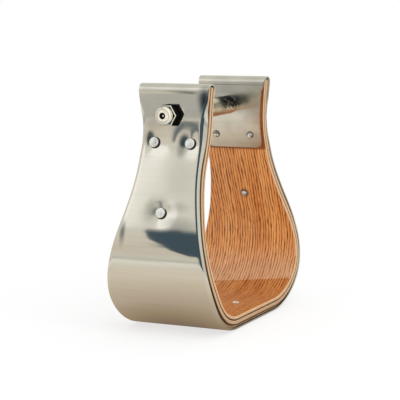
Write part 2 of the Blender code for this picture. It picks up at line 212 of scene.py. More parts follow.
def new_material(name):
    """Material with an empty Principled shader, and its node tree."""
    made = bpy.data.materials.new(name)
    made.use_nodes = True
    return made, made.node_tree, made.node_tree.nodes["Principled BSDF"]


print("Helpers for colours and rays ready")

# %% [markdown]
# ## Floor
#
# The stirrup stands on a pale table. The camera sees it white, as the photograph does, with the stirrup's own
# soft shadow. What the metal mirrors is the warm table itself, darker close to the stirrup, so rays that
# come from metal get those colours, and past the edge of the table they see the room.

# %% Lay the floor
FLOOR_SIZE = 8.0
FLOOR_GAP = 0.0002
FLOOR_PALE = (0.97, 0.97, 0.97, 1.0)
FLOOR_ROUGH = 0.9
WHITE = (1.0, 1.0, 1.0, 1.0)
FADE_START = 0.06
FADE_END = 0.26
SHADOW_KEPT = 0.3
TABLE_END = 0.60
TABLE_FADE = 0.25
TABLE_RANGE = (0.0, 0.5)
# Colours of the table that only the metal sees, darkened close to the stirrup by a painted shadow.
TABLE_TONES_AND_SHADOW = [(0.045, (0.24, 0.17, 0.12)), (0.060, (0.37, 0.28, 0.18)), (0.080, (0.54, 0.44, 0.33)),
               (0.115, (0.66, 0.57, 0.43)), (0.160, (0.74, 0.66, 0.53)), (0.280, (0.74, 0.68, 0.57)),
               (0.470, (0.84, 0.81, 0.70))]


def floor_finish():
    made, tree, shader = new_material("pale_table")
    seen, mirrored = ray_masks(tree)
    away = vector_node(tree, "LENGTH", own_place(tree))["Value"]
    fill(tree, shader, Base_Color=FLOOR_PALE, Roughness=FLOOR_ROUGH, Specular_IOR_Level=0.0)
    white = add_node(tree, "Emission", Color=WHITE, Strength=1.0)
    fade = times(tree, remap(tree, away, FADE_START, FADE_END, 1 - SHADOW_KEPT), seen)
    shown = add_node(tree, "MixShader", i0=fade, i1=shader.outputs[0], i2=white.outputs[0])
    # Rays from the metal see the table as a glow of these colours, with the painted shadow close to the
    # stirrup.
    warm = add_node(tree, "Emission", Color=ramp(tree, away, *TABLE_RANGE, TABLE_TONES_AND_SHADOW), Strength=1.0)
    beyond = add_node(tree, "BsdfTransparent")
    table = add_node(tree, "MixShader", i0=remap(tree, away, TABLE_END, TABLE_END + TABLE_FADE),
                     i1=warm.outputs[0], i2=beyond.outputs[0])
    mixed = add_node(tree, "MixShader", i0=mirrored, i1=shown.outputs[0], i2=table.outputs[0])
    fill(tree, tree.nodes["Material Output"], Surface=mixed.outputs[0])
    return made


def lay_floor():
    bpy.ops.mesh.primitive_plane_add(size=FLOOR_SIZE, location=(0.0, 0.0, -FLOOR_GAP))
    floor = bpy.context.object
    floor.name = "floor"
    bpy.ops.object.transform_apply(location=True)
    floor.data.materials.append(floor_finish())


select_none()
lay_floor()
print("Floor of", FLOOR_SIZE, "m laid")

# %% [markdown]
# ## Light
#
# Polished metal shows the room more than its own colour, so the room matters here. Rays that light the
# stirrup meet an even pale dome and one large softbox. Rays that leave the metal meet a studio: pale walls
# with a duller band along the floor, a window at the rear left, and the dark side of the room, to the left
# of the camera and behind it.

# %% Light the room
PLAIN_LIGHT = 0.80
ROOM_RANGE = (-12.0, 90.0)
ROOM_TONES = [(-12, (0.54, 0.53, 0.47)), (-4, (0.47, 0.46, 0.41)), (-1.5, (0.70, 0.66, 0.56)),
              (5, (0.66, 0.60, 0.49)), (18, (0.73, 0.67, 0.56)), (29, (0.74, 0.71, 0.61)),
              (40, (0.72, 0.72, 0.61)), (60, (0.66, 0.66, 0.56)), (90, (0.58, 0.58, 0.50))]
WINDOW = (1.07, 1.04, 0.96)
WINDOW_SIDES = (-175.0, -123.0)
WINDOW_LEVELS = (27.0, 50.0)
WINDOW_SOFT = (0.7, 2.5)
ROOM_DARK = (0.058, 0.090, 0.114)
DARK_SIDES = (-112.0, -62.0)
DARK_LEVELS = (-25.0, 52.0)
DARK_SOFT = (2.5, 4.0)


def sector(tree, around, rise, sides, levels, softs):
    """Mask of a part of the room between two azimuths and two elevations, in degrees, with soft edges."""
    mask = None
    for value, (low, high), soft in ((around, sides, softs[0]), (rise, levels, softs[1])):
        for edge, sign in ((low, 1), (high, -1)):
            step = remap(tree, value, edge - sign * soft, edge + sign * soft)
            mask = step if mask is None else times(tree, mask, step)
    return mask


def light_room():
    world = bpy.data.worlds.new("studio_room")
    bpy.context.scene.world = world
    world.use_nodes = True
    tree = world.node_tree
    tree.nodes.clear()
    look = axes(tree, add_node(tree, "TexCoord").outputs["Generated"])
    rise = math_node(tree, "DEGREES", math_node(tree, "ARCSINE", look["Z"]))
    around = math_node(tree, "ARCTAN2", look["X"], times(tree, look["Y"], -1.0))
    around = math_node(tree, "DEGREES", around)
    window = sector(tree, around, rise, WINDOW_SIDES, WINDOW_LEVELS, WINDOW_SOFT)
    dark = sector(tree, around, rise, DARK_SIDES, DARK_LEVELS, DARK_SOFT)
    walls = mix_colour(tree, window, ramp(tree, rise, *ROOM_RANGE, ROOM_TONES), WINDOW)
    seen, mirrored = ray_masks(tree)
    plain = add_node(tree, "Background", Color=WHITE, Strength=PLAIN_LIGHT)
    room = add_node(tree, "Background", Color=mix_colour(tree, dark, walls, ROOM_DARK), Strength=1.0)
    white = add_node(tree, "Background", Color=WHITE, Strength=1.0)
    light = add_node(tree, "MixShader", i0=mirrored, i1=plain.outputs[0], i2=room.outputs[0])
    shown = add_node(tree, "MixShader", i0=seen, i1=light.outputs[0], i2=white.outputs[0])
    fill(tree, add_node(tree, "OutputWorld"), Surface=shown.outputs[0])


light_room()
print("Room lit at a plain level of", PLAIN_LIGHT)

# %% Hang the softbox
SOFTBOX_SIZE = 1.2
SOFTBOX_PLACE = Vector((-0.55, -0.75, 1.15))
SOFTBOX_POWER = 9.0


def hang_softbox():
    aim = (SOFTBOX_PLACE - Vector((0.0, 0.0, cad_high.z / 2))).to_track_quat("Z", "Y")
    bpy.ops.object.light_add(type="AREA", location=SOFTBOX_PLACE, rotation=aim.to_euler())
    lamp = bpy.context.object
    lamp.name = "softbox"
    lamp.data.size = SOFTBOX_SIZE
    lamp.data.energy = SOFTBOX_POWER
    lamp.visible_glossy = False


hang_softbox()
print("Softbox hung, with", SOFTBOX_POWER, "W")

# %% [markdown]
# ## Dark cards
#
# The near side shows two dark blue patches: a large one low down with a clear, slanting edge, and a streak
# beside a rivet at the neck. Something dark stood there and was mirrored. Painting the patches on the metal
# would look wrong from every other side, so two cards of those outlines do the same, one near and one far.
# They are seen by metal alone, so they throw no shadow, and each fades out towards its top.

# %% Hang the dark cards
LOW_CARD = [(0.0129, 0.0583), (0.0185, 0.0626), (0.0289, 0.0696), (0.0377, 0.0804), (0.0487, 0.0917),
            (0.0532, 0.1039), (0.0560, 0.1126), (0.0560, 0.1180), (0.0530, 0.1230), (0.0480, 0.1275),
            (-0.0300, 0.1340), (-0.0300, 0.0560)]
HIGH_CARD = [(0.1990, 0.1368), (0.2010, 0.1847), (0.2070, 0.2216), (0.2140, 0.2602), (0.2230, 0.3015),
             (0.2290, 0.3310), (0.2120, 0.3310), (0.2030, 0.3015), (0.1940, 0.2602), (0.1870, 0.2216),
             (0.1820, 0.1847), (0.1780, 0.1368)]
CARDS = {"low_dark_card": (-0.150, LOW_CARD, (0.1080, 0.1315)),
         "high_dark_card": (-0.450, HIGH_CARD, (0.290, 0.331))}


def card_finish(name, fade):
    made, tree, _ = new_material(name)
    dark = add_node(tree, "Emission", Color=(*ROOM_DARK, 1.0), Strength=1.0)
    clear = add_node(tree, "BsdfTransparent")
    cleared = remap(tree, axes(tree, own_place(tree))["Z"], *fade)
    faded = add_node(tree, "MixShader", i0=cleared, i1=dark.outputs[0], i2=clear.outputs[0])
    fill(tree, tree.nodes["Material Output"], Surface=faded.outputs[0])
    return made


def hang_card(name, x, outline, fade):
    bpy.ops.mesh.primitive_circle_add(vertices=len(outline), fill_type="NGON")
    card = bpy.context.object
    card.name = name
    for vertex, (y, z) in zip(card.data.vertices, outline):
        vertex.co = (x, y, z)
    card.data.materials.append(card_finish(name, fade))
    for kind in ("camera", "diffuse", "shadow", "transmission"):
        setattr(card, "visible_" + kind, False)


select_none()
for name, (x, outline, fade) in CARDS.items():
    hang_card(name, x, outline, fade)
print("Dark cards hung:", ", ".join(CARDS))

# %% [markdown]
# ## The wall's outline
#
# Seen from the front, one side of the stirrup is a chain of lines and arcs: the straight neck, the shoulder,
# the flank, the bulge, the lower corner and half of the tread. Every layer of the wall follows this chain, a
# little further in. A drop is a length down the outer face from the top, and a depth is measured inwards
# from it.

# %% Outline of the wall
HEIGHT = cad_high.z
BULGE_X = cad_high.x
STRAP_GAP = 0.0762
NECK_LENGTH = 0.0200
SHOULDER_RADIUS = 0.0600
BULGE_RADIUS = 0.0633
CORNER_RADIUS = 0.0464
SHEET = 0.0009
SEAT_GAP = 0.00025
GLUE_LINE = 0.00015
PLIES = {"back_ply": 0.0021, "outer_crossband": 0.0007, "core_ply": 0.0022, "inner_crossband": 0.0007,
         "face_ply": 0.0018}
WALL = SHEET + SEAT_GAP + sum(PLIES.values()) + GLUE_LINE * (len(PLIES) - 1)
PLATE_FACE = WALL + SEAT_GAP + SHEET
FOLD_RADIUS = PLATE_FACE / 2
NECK_X = STRAP_GAP / 2 + PLATE_FACE
SHOULDER_CENTRE = Vector((NECK_X + SHOULDER_RADIUS, 0.0, HEIGHT - NECK_LENGTH))
BULGE_CENTRE = Vector((BULGE_X - BULGE_RADIUS, 0.0, CORNER_RADIUS))
CORNER_CENTRE = Vector((BULGE_X - CORNER_RADIUS, 0.0, CORNER_RADIUS))


def wall_runs():
    """Lines and arcs of one side from the top, as (length, turn, centre). A line has no centre."""
    between = SHOULDER_CENTRE - BULGE_CENTRE
    radii = SHOULDER_RADIUS + BULGE_RADIUS
    flare = math.atan2(between.z, between.x) - math.acos(radii / between.length)
    flank = math.sqrt(between.length_squared - radii ** 2)
    return [
        (NECK_LENGTH, 0.0, None),
        (SHOULDER_RADIUS * flare, flare, SHOULDER_CENTRE),
        (flank, 0.0, None),
        (BULGE_RADIUS * flare, -flare, BULGE_CENTRE),
        (CORNER_RADIUS * math.pi / 2, -math.pi / 2, CORNER_CENTRE),
        (BULGE_X - CORNER_RADIUS, 0.0, None),
    ]


RUNS = wall_runs()
RUN_ENDS = [float(end) for end in np.cumsum([run[0] for run in RUNS])]
BULGE_END, CORNER_END, MIDDLE = RUN_ENDS[3:]
print("Runs of one side, in mm:", [round(run[0] * 1000, 1) for run in RUNS])


# %% Points of the wall
def wall_at(drop):
    """Point of the outer face on the +X side, its outward normal and its direction downwards."""
    x, z, heading = NECK_X, HEIGHT, -math.pi / 2
    for length, turn, _ in RUNS:
        part = min(drop, length)
        if turn:
            swing = turn * part / length
            radius = length / turn
            x += radius * (math.sin(heading + swing) - math.sin(heading))
            z -= radius * (math.cos(heading + swing) - math.cos(heading))
            heading += swing
        else:
            x += part * math.cos(heading)
            z += part * math.sin(heading)
        drop -= part
        if drop <= 0:
            break
    normal = Vector((-math.sin(heading), 0.0, math.cos(heading)))
    return Vector((x, 0.0, z)), normal, Vector((math.cos(heading), 0.0, math.sin(heading)))


def wall_place(side, drop, y, depth):
    """Point at a drop, a place from front to back and a depth. side is 1 or -1."""
    point, normal, _ = wall_at(drop)
    inside = point - depth * normal
    return Vector((side * inside.x, y, inside.z))


print("Outer face of one side:", round(MIDDLE * 1000, 1), "mm down to the middle of the tread")

# %% [markdown]
# ## Depth from front to back
#
# The strip isn't as wide everywhere. It narrows below the top to a waist and widens towards the lower corner
# to carry the boot. The binding's edges roll over the wood on the outside, so the outermost ply is a little
# narrower there. On the inside the wood is rounded over for the foot, and the neck plates lie flat, just
# inside that rounding.

# %% Widths and rolled edges
TOP_DEPTH = 0.0502
WAIST_DEPTH = 0.0448
WAIST_DROP = 0.0500
FLARE_DEPTH = 0.0749
FLARE_SHARE = 0.38
TREAD_DEPTH = 0.0718
FACE_ROUND = 0.0012
LIP_STOP = 0.00025
LIP_RADIUS = 0.0030
LIP_EASE = (0.0250, 0.0550)
LIP_RUN_IN = 0.0220
LIP_START = math.radians(8)
LIP_FULL = math.radians(62)
LIP_REACH = SHEET + SEAT_GAP + PLIES["back_ply"] - LIP_STOP - SHEET * math.cos(LIP_FULL)
NECK_LIP_RADIUS = LIP_REACH / (1 - math.cos(LIP_FULL))
PLATE_MARGIN = 0.0003
PLATE_RUN_IN = 0.0055
WIDEST_DROP = BULGE_END + FLARE_SHARE * (CORNER_END - BULGE_END)


def smooth_step(start, end, value):
    share = min(max((value - start) / (end - start), 0.0), 1.0)
    return share * share * (3 - 2 * share)


def half_depth(drop):
    """Half the depth from front to back."""
    if drop < WAIST_DROP:
        rise = 1 - drop / WAIST_DROP
        return (WAIST_DEPTH + (TOP_DEPTH - WAIST_DEPTH) * rise * rise) / 2
    widening = smooth_step(WAIST_DROP, WIDEST_DROP, drop) * (FLARE_DEPTH - WAIST_DEPTH)
    easing = smooth_step(WIDEST_DROP, CORNER_END, drop) * (FLARE_DEPTH - TREAD_DEPTH)
    return (WAIST_DEPTH + widening - easing) / 2


def lip_angle(drop):
    """How far the outer edge of the binding is rolled over, from a slight start at the fold."""
    share = smooth_step(FOLD_RADIUS, FOLD_RADIUS + LIP_RUN_IN, drop)
    return LIP_START + (LIP_FULL - LIP_START) * share


def lip_radius(drop):
    """Radius of the rolled edge: wide at the neck, tighter below."""
    return NECK_LIP_RADIUS + (LIP_RADIUS - NECK_LIP_RADIUS) * smooth_step(*LIP_EASE, drop)


def plate_inset(drop):
    """How far the edge of a neck plate stays inside the edge of the wood."""
    return (FACE_ROUND + PLATE_MARGIN) * smooth_step(FOLD_RADIUS, FOLD_RADIUS + PLATE_RUN_IN, drop)


depths = [round(half_depth(drop) * 2000, 1) for drop in (0.0, WAIST_DROP, MIDDLE)]
print("Depth at top, waist and tread:", depths, "mm")

# %% [markdown]
# ## The plies
#
# The real plies are bent round a form. Here each one starts as a single edge at its top end, which is drawn
# out step by step: extruded along the lines, spun round the centres of the arcs, and resized to the right
# depth at every step. That gives half a ribbon. A mirror makes it whole, Solidify gives it its thickness, and
# a weighted Bevel eases its edges.

# %% Steps down one side
LINE_STEP = 0.0040
ARC_STEP = math.radians(3)


def run_steps():
    """Every step down one side, as (drop, move, spin, centre) with either a move or a spin."""
    steps = []
    drop = 0.0
    for length, turn, centre in RUNS:
        count = math.ceil(abs(turn) / ARC_STEP) if turn else math.ceil(length / LINE_STEP)
        for _ in range(count):
            drop += length / count
            steps.append((drop, length / count, turn / count, centre))
    return steps


print(len(run_steps()), "steps down one side")


# %% Helpers for editing
def edit(obj):
    """Makes one object active and opens it for editing, with nothing selected in it."""
    select_none()
    obj.select_set(True)
    bpy.context.view_layer.objects.active = obj
    bpy.ops.object.mode_set(mode="EDIT")
    bpy.ops.mesh.select_mode(type="VERT")
    bpy.ops.mesh.select_all(action="DESELECT")


def pick(obj, test):
    """Selects the vertices that pass a test on their place."""
    mesh = bmesh.from_edit_mesh(obj.data)
    for vertex in mesh.verts:
        vertex.select_set(test(vertex.co))
    mesh.select_flush(True)
    bmesh.update_edit_mesh(obj.data)


def close_edit():
    bpy.ops.object.mode_set(mode="OBJECT")


def apply_modifier(obj, kind, **settings):
    """Adds a modifier with its settings and applies it."""
    bpy.context.view_layer.objects.active = obj
    modifier = obj.modifiers.new(kind.lower(), kind)
    for key, value in settings.items():
        setattr(modifier, key, value)
    bpy.ops.object.modifier_apply(modifier=modifier.name)


print("Helpers for editing ready")

# %% Bend a ribbon
PLANE = 1.0
ORIGIN = (0.0, 0.0, 0.0)
ACROSS = Vector((0.0, 1.0, 0.0))


def bend_ribbon(name, depth, top, half_width):
    """Half a ribbon at a depth in the wall, from a top drop to the middle of the tread."""
    select_none()
    bpy.ops.mesh.primitive_plane_add(size=PLANE)
    ribbon = bpy.context.object
    ribbon.name = name
    start = wall_place(1, top, 0.0, depth)
    edit(ribbon)
    pick(ribbon, lambda co: co.x > 0)
    bpy.ops.mesh.delete(type="VERT")
    bpy.ops.mesh.select_all(action="SELECT")
    bpy.ops.transform.resize(value=(1.0, 2 * half_width(top), 1.0), center_override=ORIGIN)
    bpy.ops.transform.translate(value=(start.x + PLANE / 2, 0.0, start.z))
    reached = top
    for drop, length, turn, centre in run_steps():
        if drop <= top:
            continue
        if turn:
            swing = turn * (drop - reached) / length
            bpy.ops.mesh.spin(steps=1, angle=swing, center=centre, axis=ACROSS)
        else:
            down = wall_at((reached + drop) / 2)[2]
            bpy.ops.mesh.extrude_region_move(TRANSFORM_OT_translate={"value": down * (drop - reached)})
        ratio = half_width(drop) / half_width(reached)
        bpy.ops.transform.resize(value=(1.0, ratio, 1.0), center_override=ORIGIN)
        reached = drop
    close_edit()
    return ribbon


trial = bend_ribbon("trial_ribbon", 0.0, FOLD_RADIUS, half_depth)
low = min(vertex.co.z for vertex in trial.data.vertices)
print("Trial ribbon:", len(trial.data.vertices), "points, lowest at", round(low * 1000, 3), "mm")
bpy.data.objects.remove(trial, do_unlink=True)

# %% [markdown]
# ## Where a point lies in the wall
#
# The bent strip was flat once. To put a grain on it that follows the bend, every point needs its drop and its
# depth back. The chain is short enough to ask each line and arc in turn.

# %% Drop and depth of a point
FLARE = RUNS[1][1]
SHOULDER_END = RUN_ENDS[1]
FLANK_START, FLANK_NORMAL, FLANK_DOWN = wall_at(SHOULDER_END)
TRIAL_DROPS = 45
TRIAL_DEPTH = 0.004


def wall_coords(point):
    """Drop and depth of a point of the wall."""
    spot = Vector((abs(point.x), 0.0, point.z))
    if spot.z >= SHOULDER_CENTRE.z:
        return HEIGHT - spot.z, NECK_X - spot.x
    if spot.x <= CORNER_CENTRE.x and spot.z < CORNER_CENTRE.z:
        return MIDDLE - spot.x, spot.z
    off = spot - CORNER_CENTRE
    if off.z < 0:
        return BULGE_END + CORNER_RADIUS * math.atan2(-off.z, off.x), CORNER_RADIUS - off.length
    off = spot - SHOULDER_CENTRE
    angle = math.atan2(-off.z, -off.x)
    if angle <= FLARE:
        return NECK_LENGTH + SHOULDER_RADIUS * angle, off.length - SHOULDER_RADIUS
    off = spot - BULGE_CENTRE
    angle = math.atan2(off.z, off.x)
    if angle <= FLARE:
        return BULGE_END - BULGE_RADIUS * angle, BULGE_RADIUS - off.length
    off = spot - FLANK_START
    return SHOULDER_END + off.dot(FLANK_DOWN), -off.dot(FLANK_NORMAL)


worst = 0.0
for drop in np.linspace(0.0, MIDDLE, TRIAL_DROPS):
    found = wall_coords(wall_place(1, float(drop), 0.0, TRIAL_DEPTH))
    worst = max(worst, abs(found[0] - drop), abs(found[1] - TRIAL_DEPTH))
print("Drop and depth come back within", round(worst * 1e6, 3), "micrometres")

# %% [markdown]
# ## From ribbon to ply
#
# Solidify pushes each ribbon inwards to its thickness. The tops of the plies stand up into the round fold of
# the binding, so they are trimmed to a round end there. The outermost ply is rounded under the rolled edges
# of the metal, the oak for the foot, and all other arrises are only eased, which still catches a line of
# light.

# %% Layers and their arrises
EASED = 0.00018
ARRIS_LIMIT = 0.8
WOOD_TIP = 0.0005
WOOD_RADIUS = FOLD_RADIUS - SHEET - SEAT_GAP


def layer_depths():
    """Outer and inner depth of each ply."""
    depths = {}
    depth = SHEET + SEAT_GAP
    for name, thickness in PLIES.items():
        depths[name] = (depth, depth + thickness)
        depth += thickness + GLUE_LINE
    return depths


LAYERS = layer_depths()
WOOD_REACH = max(LAYERS["face_ply"][0] - FOLD_RADIUS, FOLD_RADIUS - LAYERS["back_ply"][1]) + WOOD_TIP
WOOD_TOP = FOLD_RADIUS - math.sqrt(WOOD_RADIUS ** 2 - WOOD_REACH ** 2)


def ply_half_width(name):
    """Half the depth of a ply from front to back, as a function of the drop."""
    if name != "back_ply":
        return half_depth
    return lambda drop: half_depth(drop) - (SHEET + 2 * SEAT_GAP) * math.sin(lip_angle(drop))


def ply_arris(name, drop, depth):
    """Rounding of a long edge of a ply."""
    outer, inner = LAYERS[name]
    outside = depth < (outer + inner) / 2
    radius = EASED
    if name == "back_ply" and outside:
        radius = max(radius, (lip_radius(drop) - SHEET - SEAT_GAP) * math.sin(lip_angle(drop)))
    if name == "face_ply" and not outside:
        radius = FACE_ROUND
    return min(radius, ARRIS_LIMIT * (inner - outer))


print("The wood ends", round(WOOD_TOP * 1000, 2), "mm below the top of the fold")

# %% Make the plies
MERGE = 1e-6
SHARP_ANGLE = math.radians(60)
ARRIS_SEGMENTS = 4


def face_outwards(obj, away_from):
    """Turns all faces the same way round, the first one away from a point."""
    edit(obj)
    bpy.ops.mesh.select_all(action="SELECT")
    bpy.ops.mesh.remove_doubles(threshold=MERGE)
    bpy.ops.mesh.normals_make_consistent(inside=False)
    mesh = bmesh.from_edit_mesh(obj.data)
    mesh.faces.ensure_lookup_table()
    low_face = min(mesh.faces, key=lambda face: face.calc_center_median().z)
    if low_face.normal.dot(low_face.calc_center_median() - away_from) < 0:
        bpy.ops.mesh.flip_normals()
    close_edit()


def trim_top(obj):
    """Draws the part inside the fold in to the fold's round, a little clear of the sheet."""
    for vertex in obj.data.vertices:
        rise = vertex.co.z - (HEIGHT - FOLD_RADIUS)
        if rise > 0:
            side = math.copysign(1.0, vertex.co.x)
            middle = side * (NECK_X - FOLD_RADIUS)
            reach = math.sqrt(WOOD_RADIUS ** 2 - rise ** 2)
            vertex.co.x = min(max(vertex.co.x, middle - reach), middle + reach)


def weigh_edges(obj, name):
    """Gives every long edge of a ply the width of its rounding, as a share of the widest one."""
    widest = max(ply_arris(name, MIDDLE, 0.0), ply_arris(name, MIDDLE, WALL))
    weights = obj.data.attributes.new("bevel_weight_edge", "FLOAT", "EDGE")
    mesh = bmesh.new()
    mesh.from_mesh(obj.data)
    for edge in mesh.edges:
        if edge.calc_face_angle(0.0) > SHARP_ANGLE:
            drop, depth = wall_coords((edge.verts[0].co + edge.verts[1].co) / 2)
            weights.data[edge.index].value = ply_arris(name, drop, depth) / widest
    mesh.free()
    return widest


def make_ply(name):
    outer, inner = LAYERS[name]
    ply = bend_ribbon(name, outer, WOOD_TOP, ply_half_width(name))
    apply_modifier(ply, "MIRROR", use_axis=(True, False, False), merge_threshold=MERGE)
    face_outwards(ply, Vector((0.0, 0.0, HEIGHT / 2)))
    apply_modifier(ply, "SOLIDIFY", thickness=inner - outer, offset=-1.0, use_even_offset=True)
    trim_top(ply)
    widest = weigh_edges(ply, name)
    apply_modifier(ply, "BEVEL", limit_method="WEIGHT", width=widest, segments=ARRIS_SEGMENTS,
                   use_clamp_overlap=True)
    return ply


pieces = {name: make_ply(name) for name in PLIES}
print("Plies made:", ", ".join(pieces))

# %% [markdown]
# ## Places of the fasteners
#
# Two rivets hold each neck plate, one rivet sits half way down each side, and two nails hold the tread. The
# bolt crosses the neck. Their places are needed now, because the sheet is a little dented round each rivet.

# %% Places of the fasteners
NECK_RIVET_DROP = 0.0374
NECK_RIVET_SPACING = 0.0254
SIDE_RIVET_DROP = 0.0832
BOLT_DROP = 0.0195
BOLT_SETBACK = 0.0025
NAIL_SPACING = 0.0352
NAIL_STAGGER = 0.0096
SIDES = {"left": -1, "right": 1}
ENDS = {"front": -1, "rear": 1}


def rivet_places():
    """Side, drop, place from front to back and grip of every rivet, by name."""
    places = {}
    for word, side in SIDES.items():
        for end, sign in ENDS.items():
            y = sign * NECK_RIVET_SPACING / 2
            places["neck_rivet_%s_%s" % (word, end)] = (side, NECK_RIVET_DROP, y, PLATE_FACE)
        places["side_rivet_%s" % word] = (side, SIDE_RIVET_DROP, 0.0, WALL)
    return places


RIVETS = rivet_places()
NAILS = {"tread_nail_%s" % end: Vector((-sign * NAIL_STAGGER / 2, sign * NAIL_SPACING / 2, WALL))
         for end, sign in ENDS.items()}
BOLT_CENTRE = Vector((0.0, BOLT_SETBACK, HEIGHT - BOLT_DROP))
print(len(RIVETS), "rivets and", len(NAILS), "nails placed")

# %% [markdown]
# ## The polished binding
#
# One long strip of sheet covers the outside, folds over both tops and ends as two neck plates. Its edges roll
# over the wood gradually, and a hand tool leaves it slightly uneven, which is what a mirror finish shows
# most. No single operator rolls an edge by a growing angle, so the sheet is skinned from rings instead: each
# ring is the sheet's section at one drop, flat in the middle and rolled at both edges.

# %% Unevenness of the sheet
DENT = 0.00068
DENT_SPREAD = 0.0043
MARGIN = 0.00036
MARGIN_WIDTH = 0.0080
MARGIN_END = (0.0150, 0.0250)
WAVE = 0.00005
WAVE_SCALE = 45.0
WAVE_SEED = 7.0


def uneven(side, drop, y):
    """How far the outer face lies below its true shape: dents at rivets, a turned margin and slight waves."""
    sunk = 0.0
    for spot_side, spot_drop, spot_y, _ in RIVETS.values():
        if spot_side == side:
            away = (drop - spot_drop) ** 2 + (y - spot_y) ** 2
            sunk += DENT * math.exp(-away / (2 * DENT_SPREAD ** 2))
    margin = max(0.0, 1 - (y + half_depth(drop)) / MARGIN_WIDTH)
    turned = MARGIN * margin ** 2 * (1 - smooth_step(*MARGIN_END, drop))
    sunk += turned * smooth_step(0.0, 2 * FOLD_RADIUS, drop)
    wave = noise.noise(Vector((drop * WAVE_SCALE, y * WAVE_SCALE, WAVE_SEED * side)))
    return sunk + WAVE * wave * smooth_step(FOLD_RADIUS, 2 * FOLD_RADIUS, drop)


print("At a side rivet the sheet is", round(uneven(1, SIDE_RIVET_DROP, 0.0) * 1000, 2), "mm low")

# %% Section of the sheet
FLAT_COLUMNS = 32
ROLL_COLUMNS = 7


def section(half, angle, radius):
    """Outer and inner line across the sheet as (y, depth, length from the middle)."""
    flat = half - radius * math.sin(angle)
    outer, inner = [], []
    for k in range(-FLAT_COLUMNS // 2, FLAT_COLUMNS // 2 + 1):
        y = flat * k / (FLAT_COLUMNS // 2)
        outer.append((y, 0.0, y))
        inner.append((y, SHEET, y))
    for k in range(1, ROLL_COLUMNS + 1):
        a = angle * k / ROLL_COLUMNS
        for line, reach in ((outer, radius), (inner, radius - SHEET)):
            y, depth = flat + reach * math.sin(a), radius - reach * math.cos(a)
            line.append((y, depth, flat + radius * a))
            line.insert(0, (-y, depth, -flat - radius * a))
    return outer + inner[::-1]


print("A section has", len(section(half_depth(MIDDLE), LIP_FULL, LIP_RADIUS)), "points")

# %% Rings of the binding
ROW_STEP = 0.0017
FOLD_ROWS = 16
CORNER_ROWS = 8
PLATE_DROP = 0.0460
PLATE_CORNER = 0.0050


def outer_ring(side, drop):
    half, angle, radius = half_depth(drop), lip_angle(drop), lip_radius(drop)
    flat = half - radius * math.sin(angle)
    ring = []
    for y, depth, u in section(half, angle, radius):
        sunk = uneven(side, drop, min(max(y, -flat), flat))
        ring.append((wall_place(side, drop, y, depth + sunk), u, side * (MIDDLE - drop)))
    return ring


def fold_ring(side, share):
    """Ring of the half-round fold over the top, from 0 on the outside to 1 at the plate."""
    swing = math.pi * share
    drop = FOLD_RADIUS * (1 - math.sin(swing))
    ring = []
    for y, depth, u in section(half_depth(drop), LIP_START, NECK_LIP_RADIUS):
        reach = FOLD_RADIUS - depth
        x = side * (NECK_X - FOLD_RADIUS + reach * math.cos(swing))
        spot = Vector((x, y, HEIGHT - FOLD_RADIUS + reach * math.sin(swing)))
        ring.append((spot, u, side * (MIDDLE - FOLD_RADIUS + FOLD_RADIUS * swing)))
    return ring


def plate_ring(side, drop, trim):
    """Ring of a neck plate, narrowed by a trim at its rounded lower corners."""
    half = half_depth(drop) - plate_inset(drop) - trim
    length = MIDDLE - 2 * FOLD_RADIUS + FOLD_RADIUS * math.pi + drop
    return [(wall_place(side, drop, y, PLATE_FACE - depth), u, side * length)
            for y, depth, u in section(half, LIP_START, NECK_LIP_RADIUS)]


def even_steps(start, end, longest):
    """Even steps from start to end, with the end left out."""
    count = math.ceil((end - start) / longest)
    return [start + (end - start) * k / count for k in range(count)]


def binding_rows(side):
    """All rings of one side, from the end of its plate to the middle of the tread."""
    corner = PLATE_DROP - PLATE_CORNER
    rows = []
    for k in range(CORNER_ROWS, -1, -1):
        swing = math.pi / 2 * k / CORNER_ROWS
        trim = PLATE_CORNER * (1 - math.cos(swing))
        rows.append(plate_ring(side, corner + PLATE_CORNER * math.sin(swing), trim))
    rows += [plate_ring(side, drop, 0.0) for drop in reversed(even_steps(FOLD_RADIUS, corner, ROW_STEP))]
    rows += [fold_ring(side, 1 - k / FOLD_ROWS) for k in range(1, FOLD_ROWS)]
    start = FOLD_RADIUS
    for end in RUN_ENDS:
        rows += [outer_ring(side, drop) for drop in even_steps(start, end, ROW_STEP)]
        start = end
    return rows


print("One side of the binding has", len(binding_rows(1)), "rings")

# %% Skin the binding
UV_UNIT = 0.1
RIM = 0.00016
RIM_ANGLE = math.radians(50)
RIM_SEGMENTS = 2


def skin_binding():
    rows = binding_rows(-1) + [outer_ring(1, MIDDLE)] + binding_rows(1)[::-1]
    mesh = bmesh.new()
    flat = mesh.loops.layers.uv.new("flat")
    laid = {}
    lines = []
    for row in rows:
        line = [mesh.verts.new(spot) for spot, _, _ in row]
        laid.update({vertex: (u / UV_UNIT, v / UV_UNIT) for vertex, (_, u, v) in zip(line, row)})
        lines.append(line)
    for first, second in zip(lines, lines[1:]):
        for k in range(len(first)):
            after = (k + 1) % len(first)
            mesh.faces.new((first[k], first[after], second[after], second[k]))
    mesh.faces.new(lines[0])
    mesh.faces.new(lines[-1])
    for face in mesh.faces:
        for loop in face.loops:
            loop[flat].uv = laid[loop.vert]
    bmesh.ops.recalc_face_normals(mesh, faces=mesh.faces)
    data = bpy.data.meshes.new("metal_binding")
    mesh.to_mesh(data)
    mesh.free()
    binding = bpy.data.objects.new("metal_binding", data)
    bpy.context.collection.objects.link(binding)
    return binding


pieces["metal_binding"] = skin_binding()
apply_modifier(pieces["metal_binding"], "BEVEL", limit_method="ANGLE", angle_limit=RIM_ANGLE, width=RIM,
               segments=RIM_SEGMENTS)
print("Binding has", len(pieces["metal_binding"].data.polygons), "faces")

# %% [markdown]
# ## A lathe
#
# Rivets, nails, bolt, nut, insert and roller are all turned. One point of a plane is kept, drawn out along
# half of the outline, and spun all the way round the axis of the piece, where it belongs.

# %% Lathe
UP = Vector((0.0, 0.0, 1.0))
TO_NUT = Vector((-1.0, 0.0, 0.0))


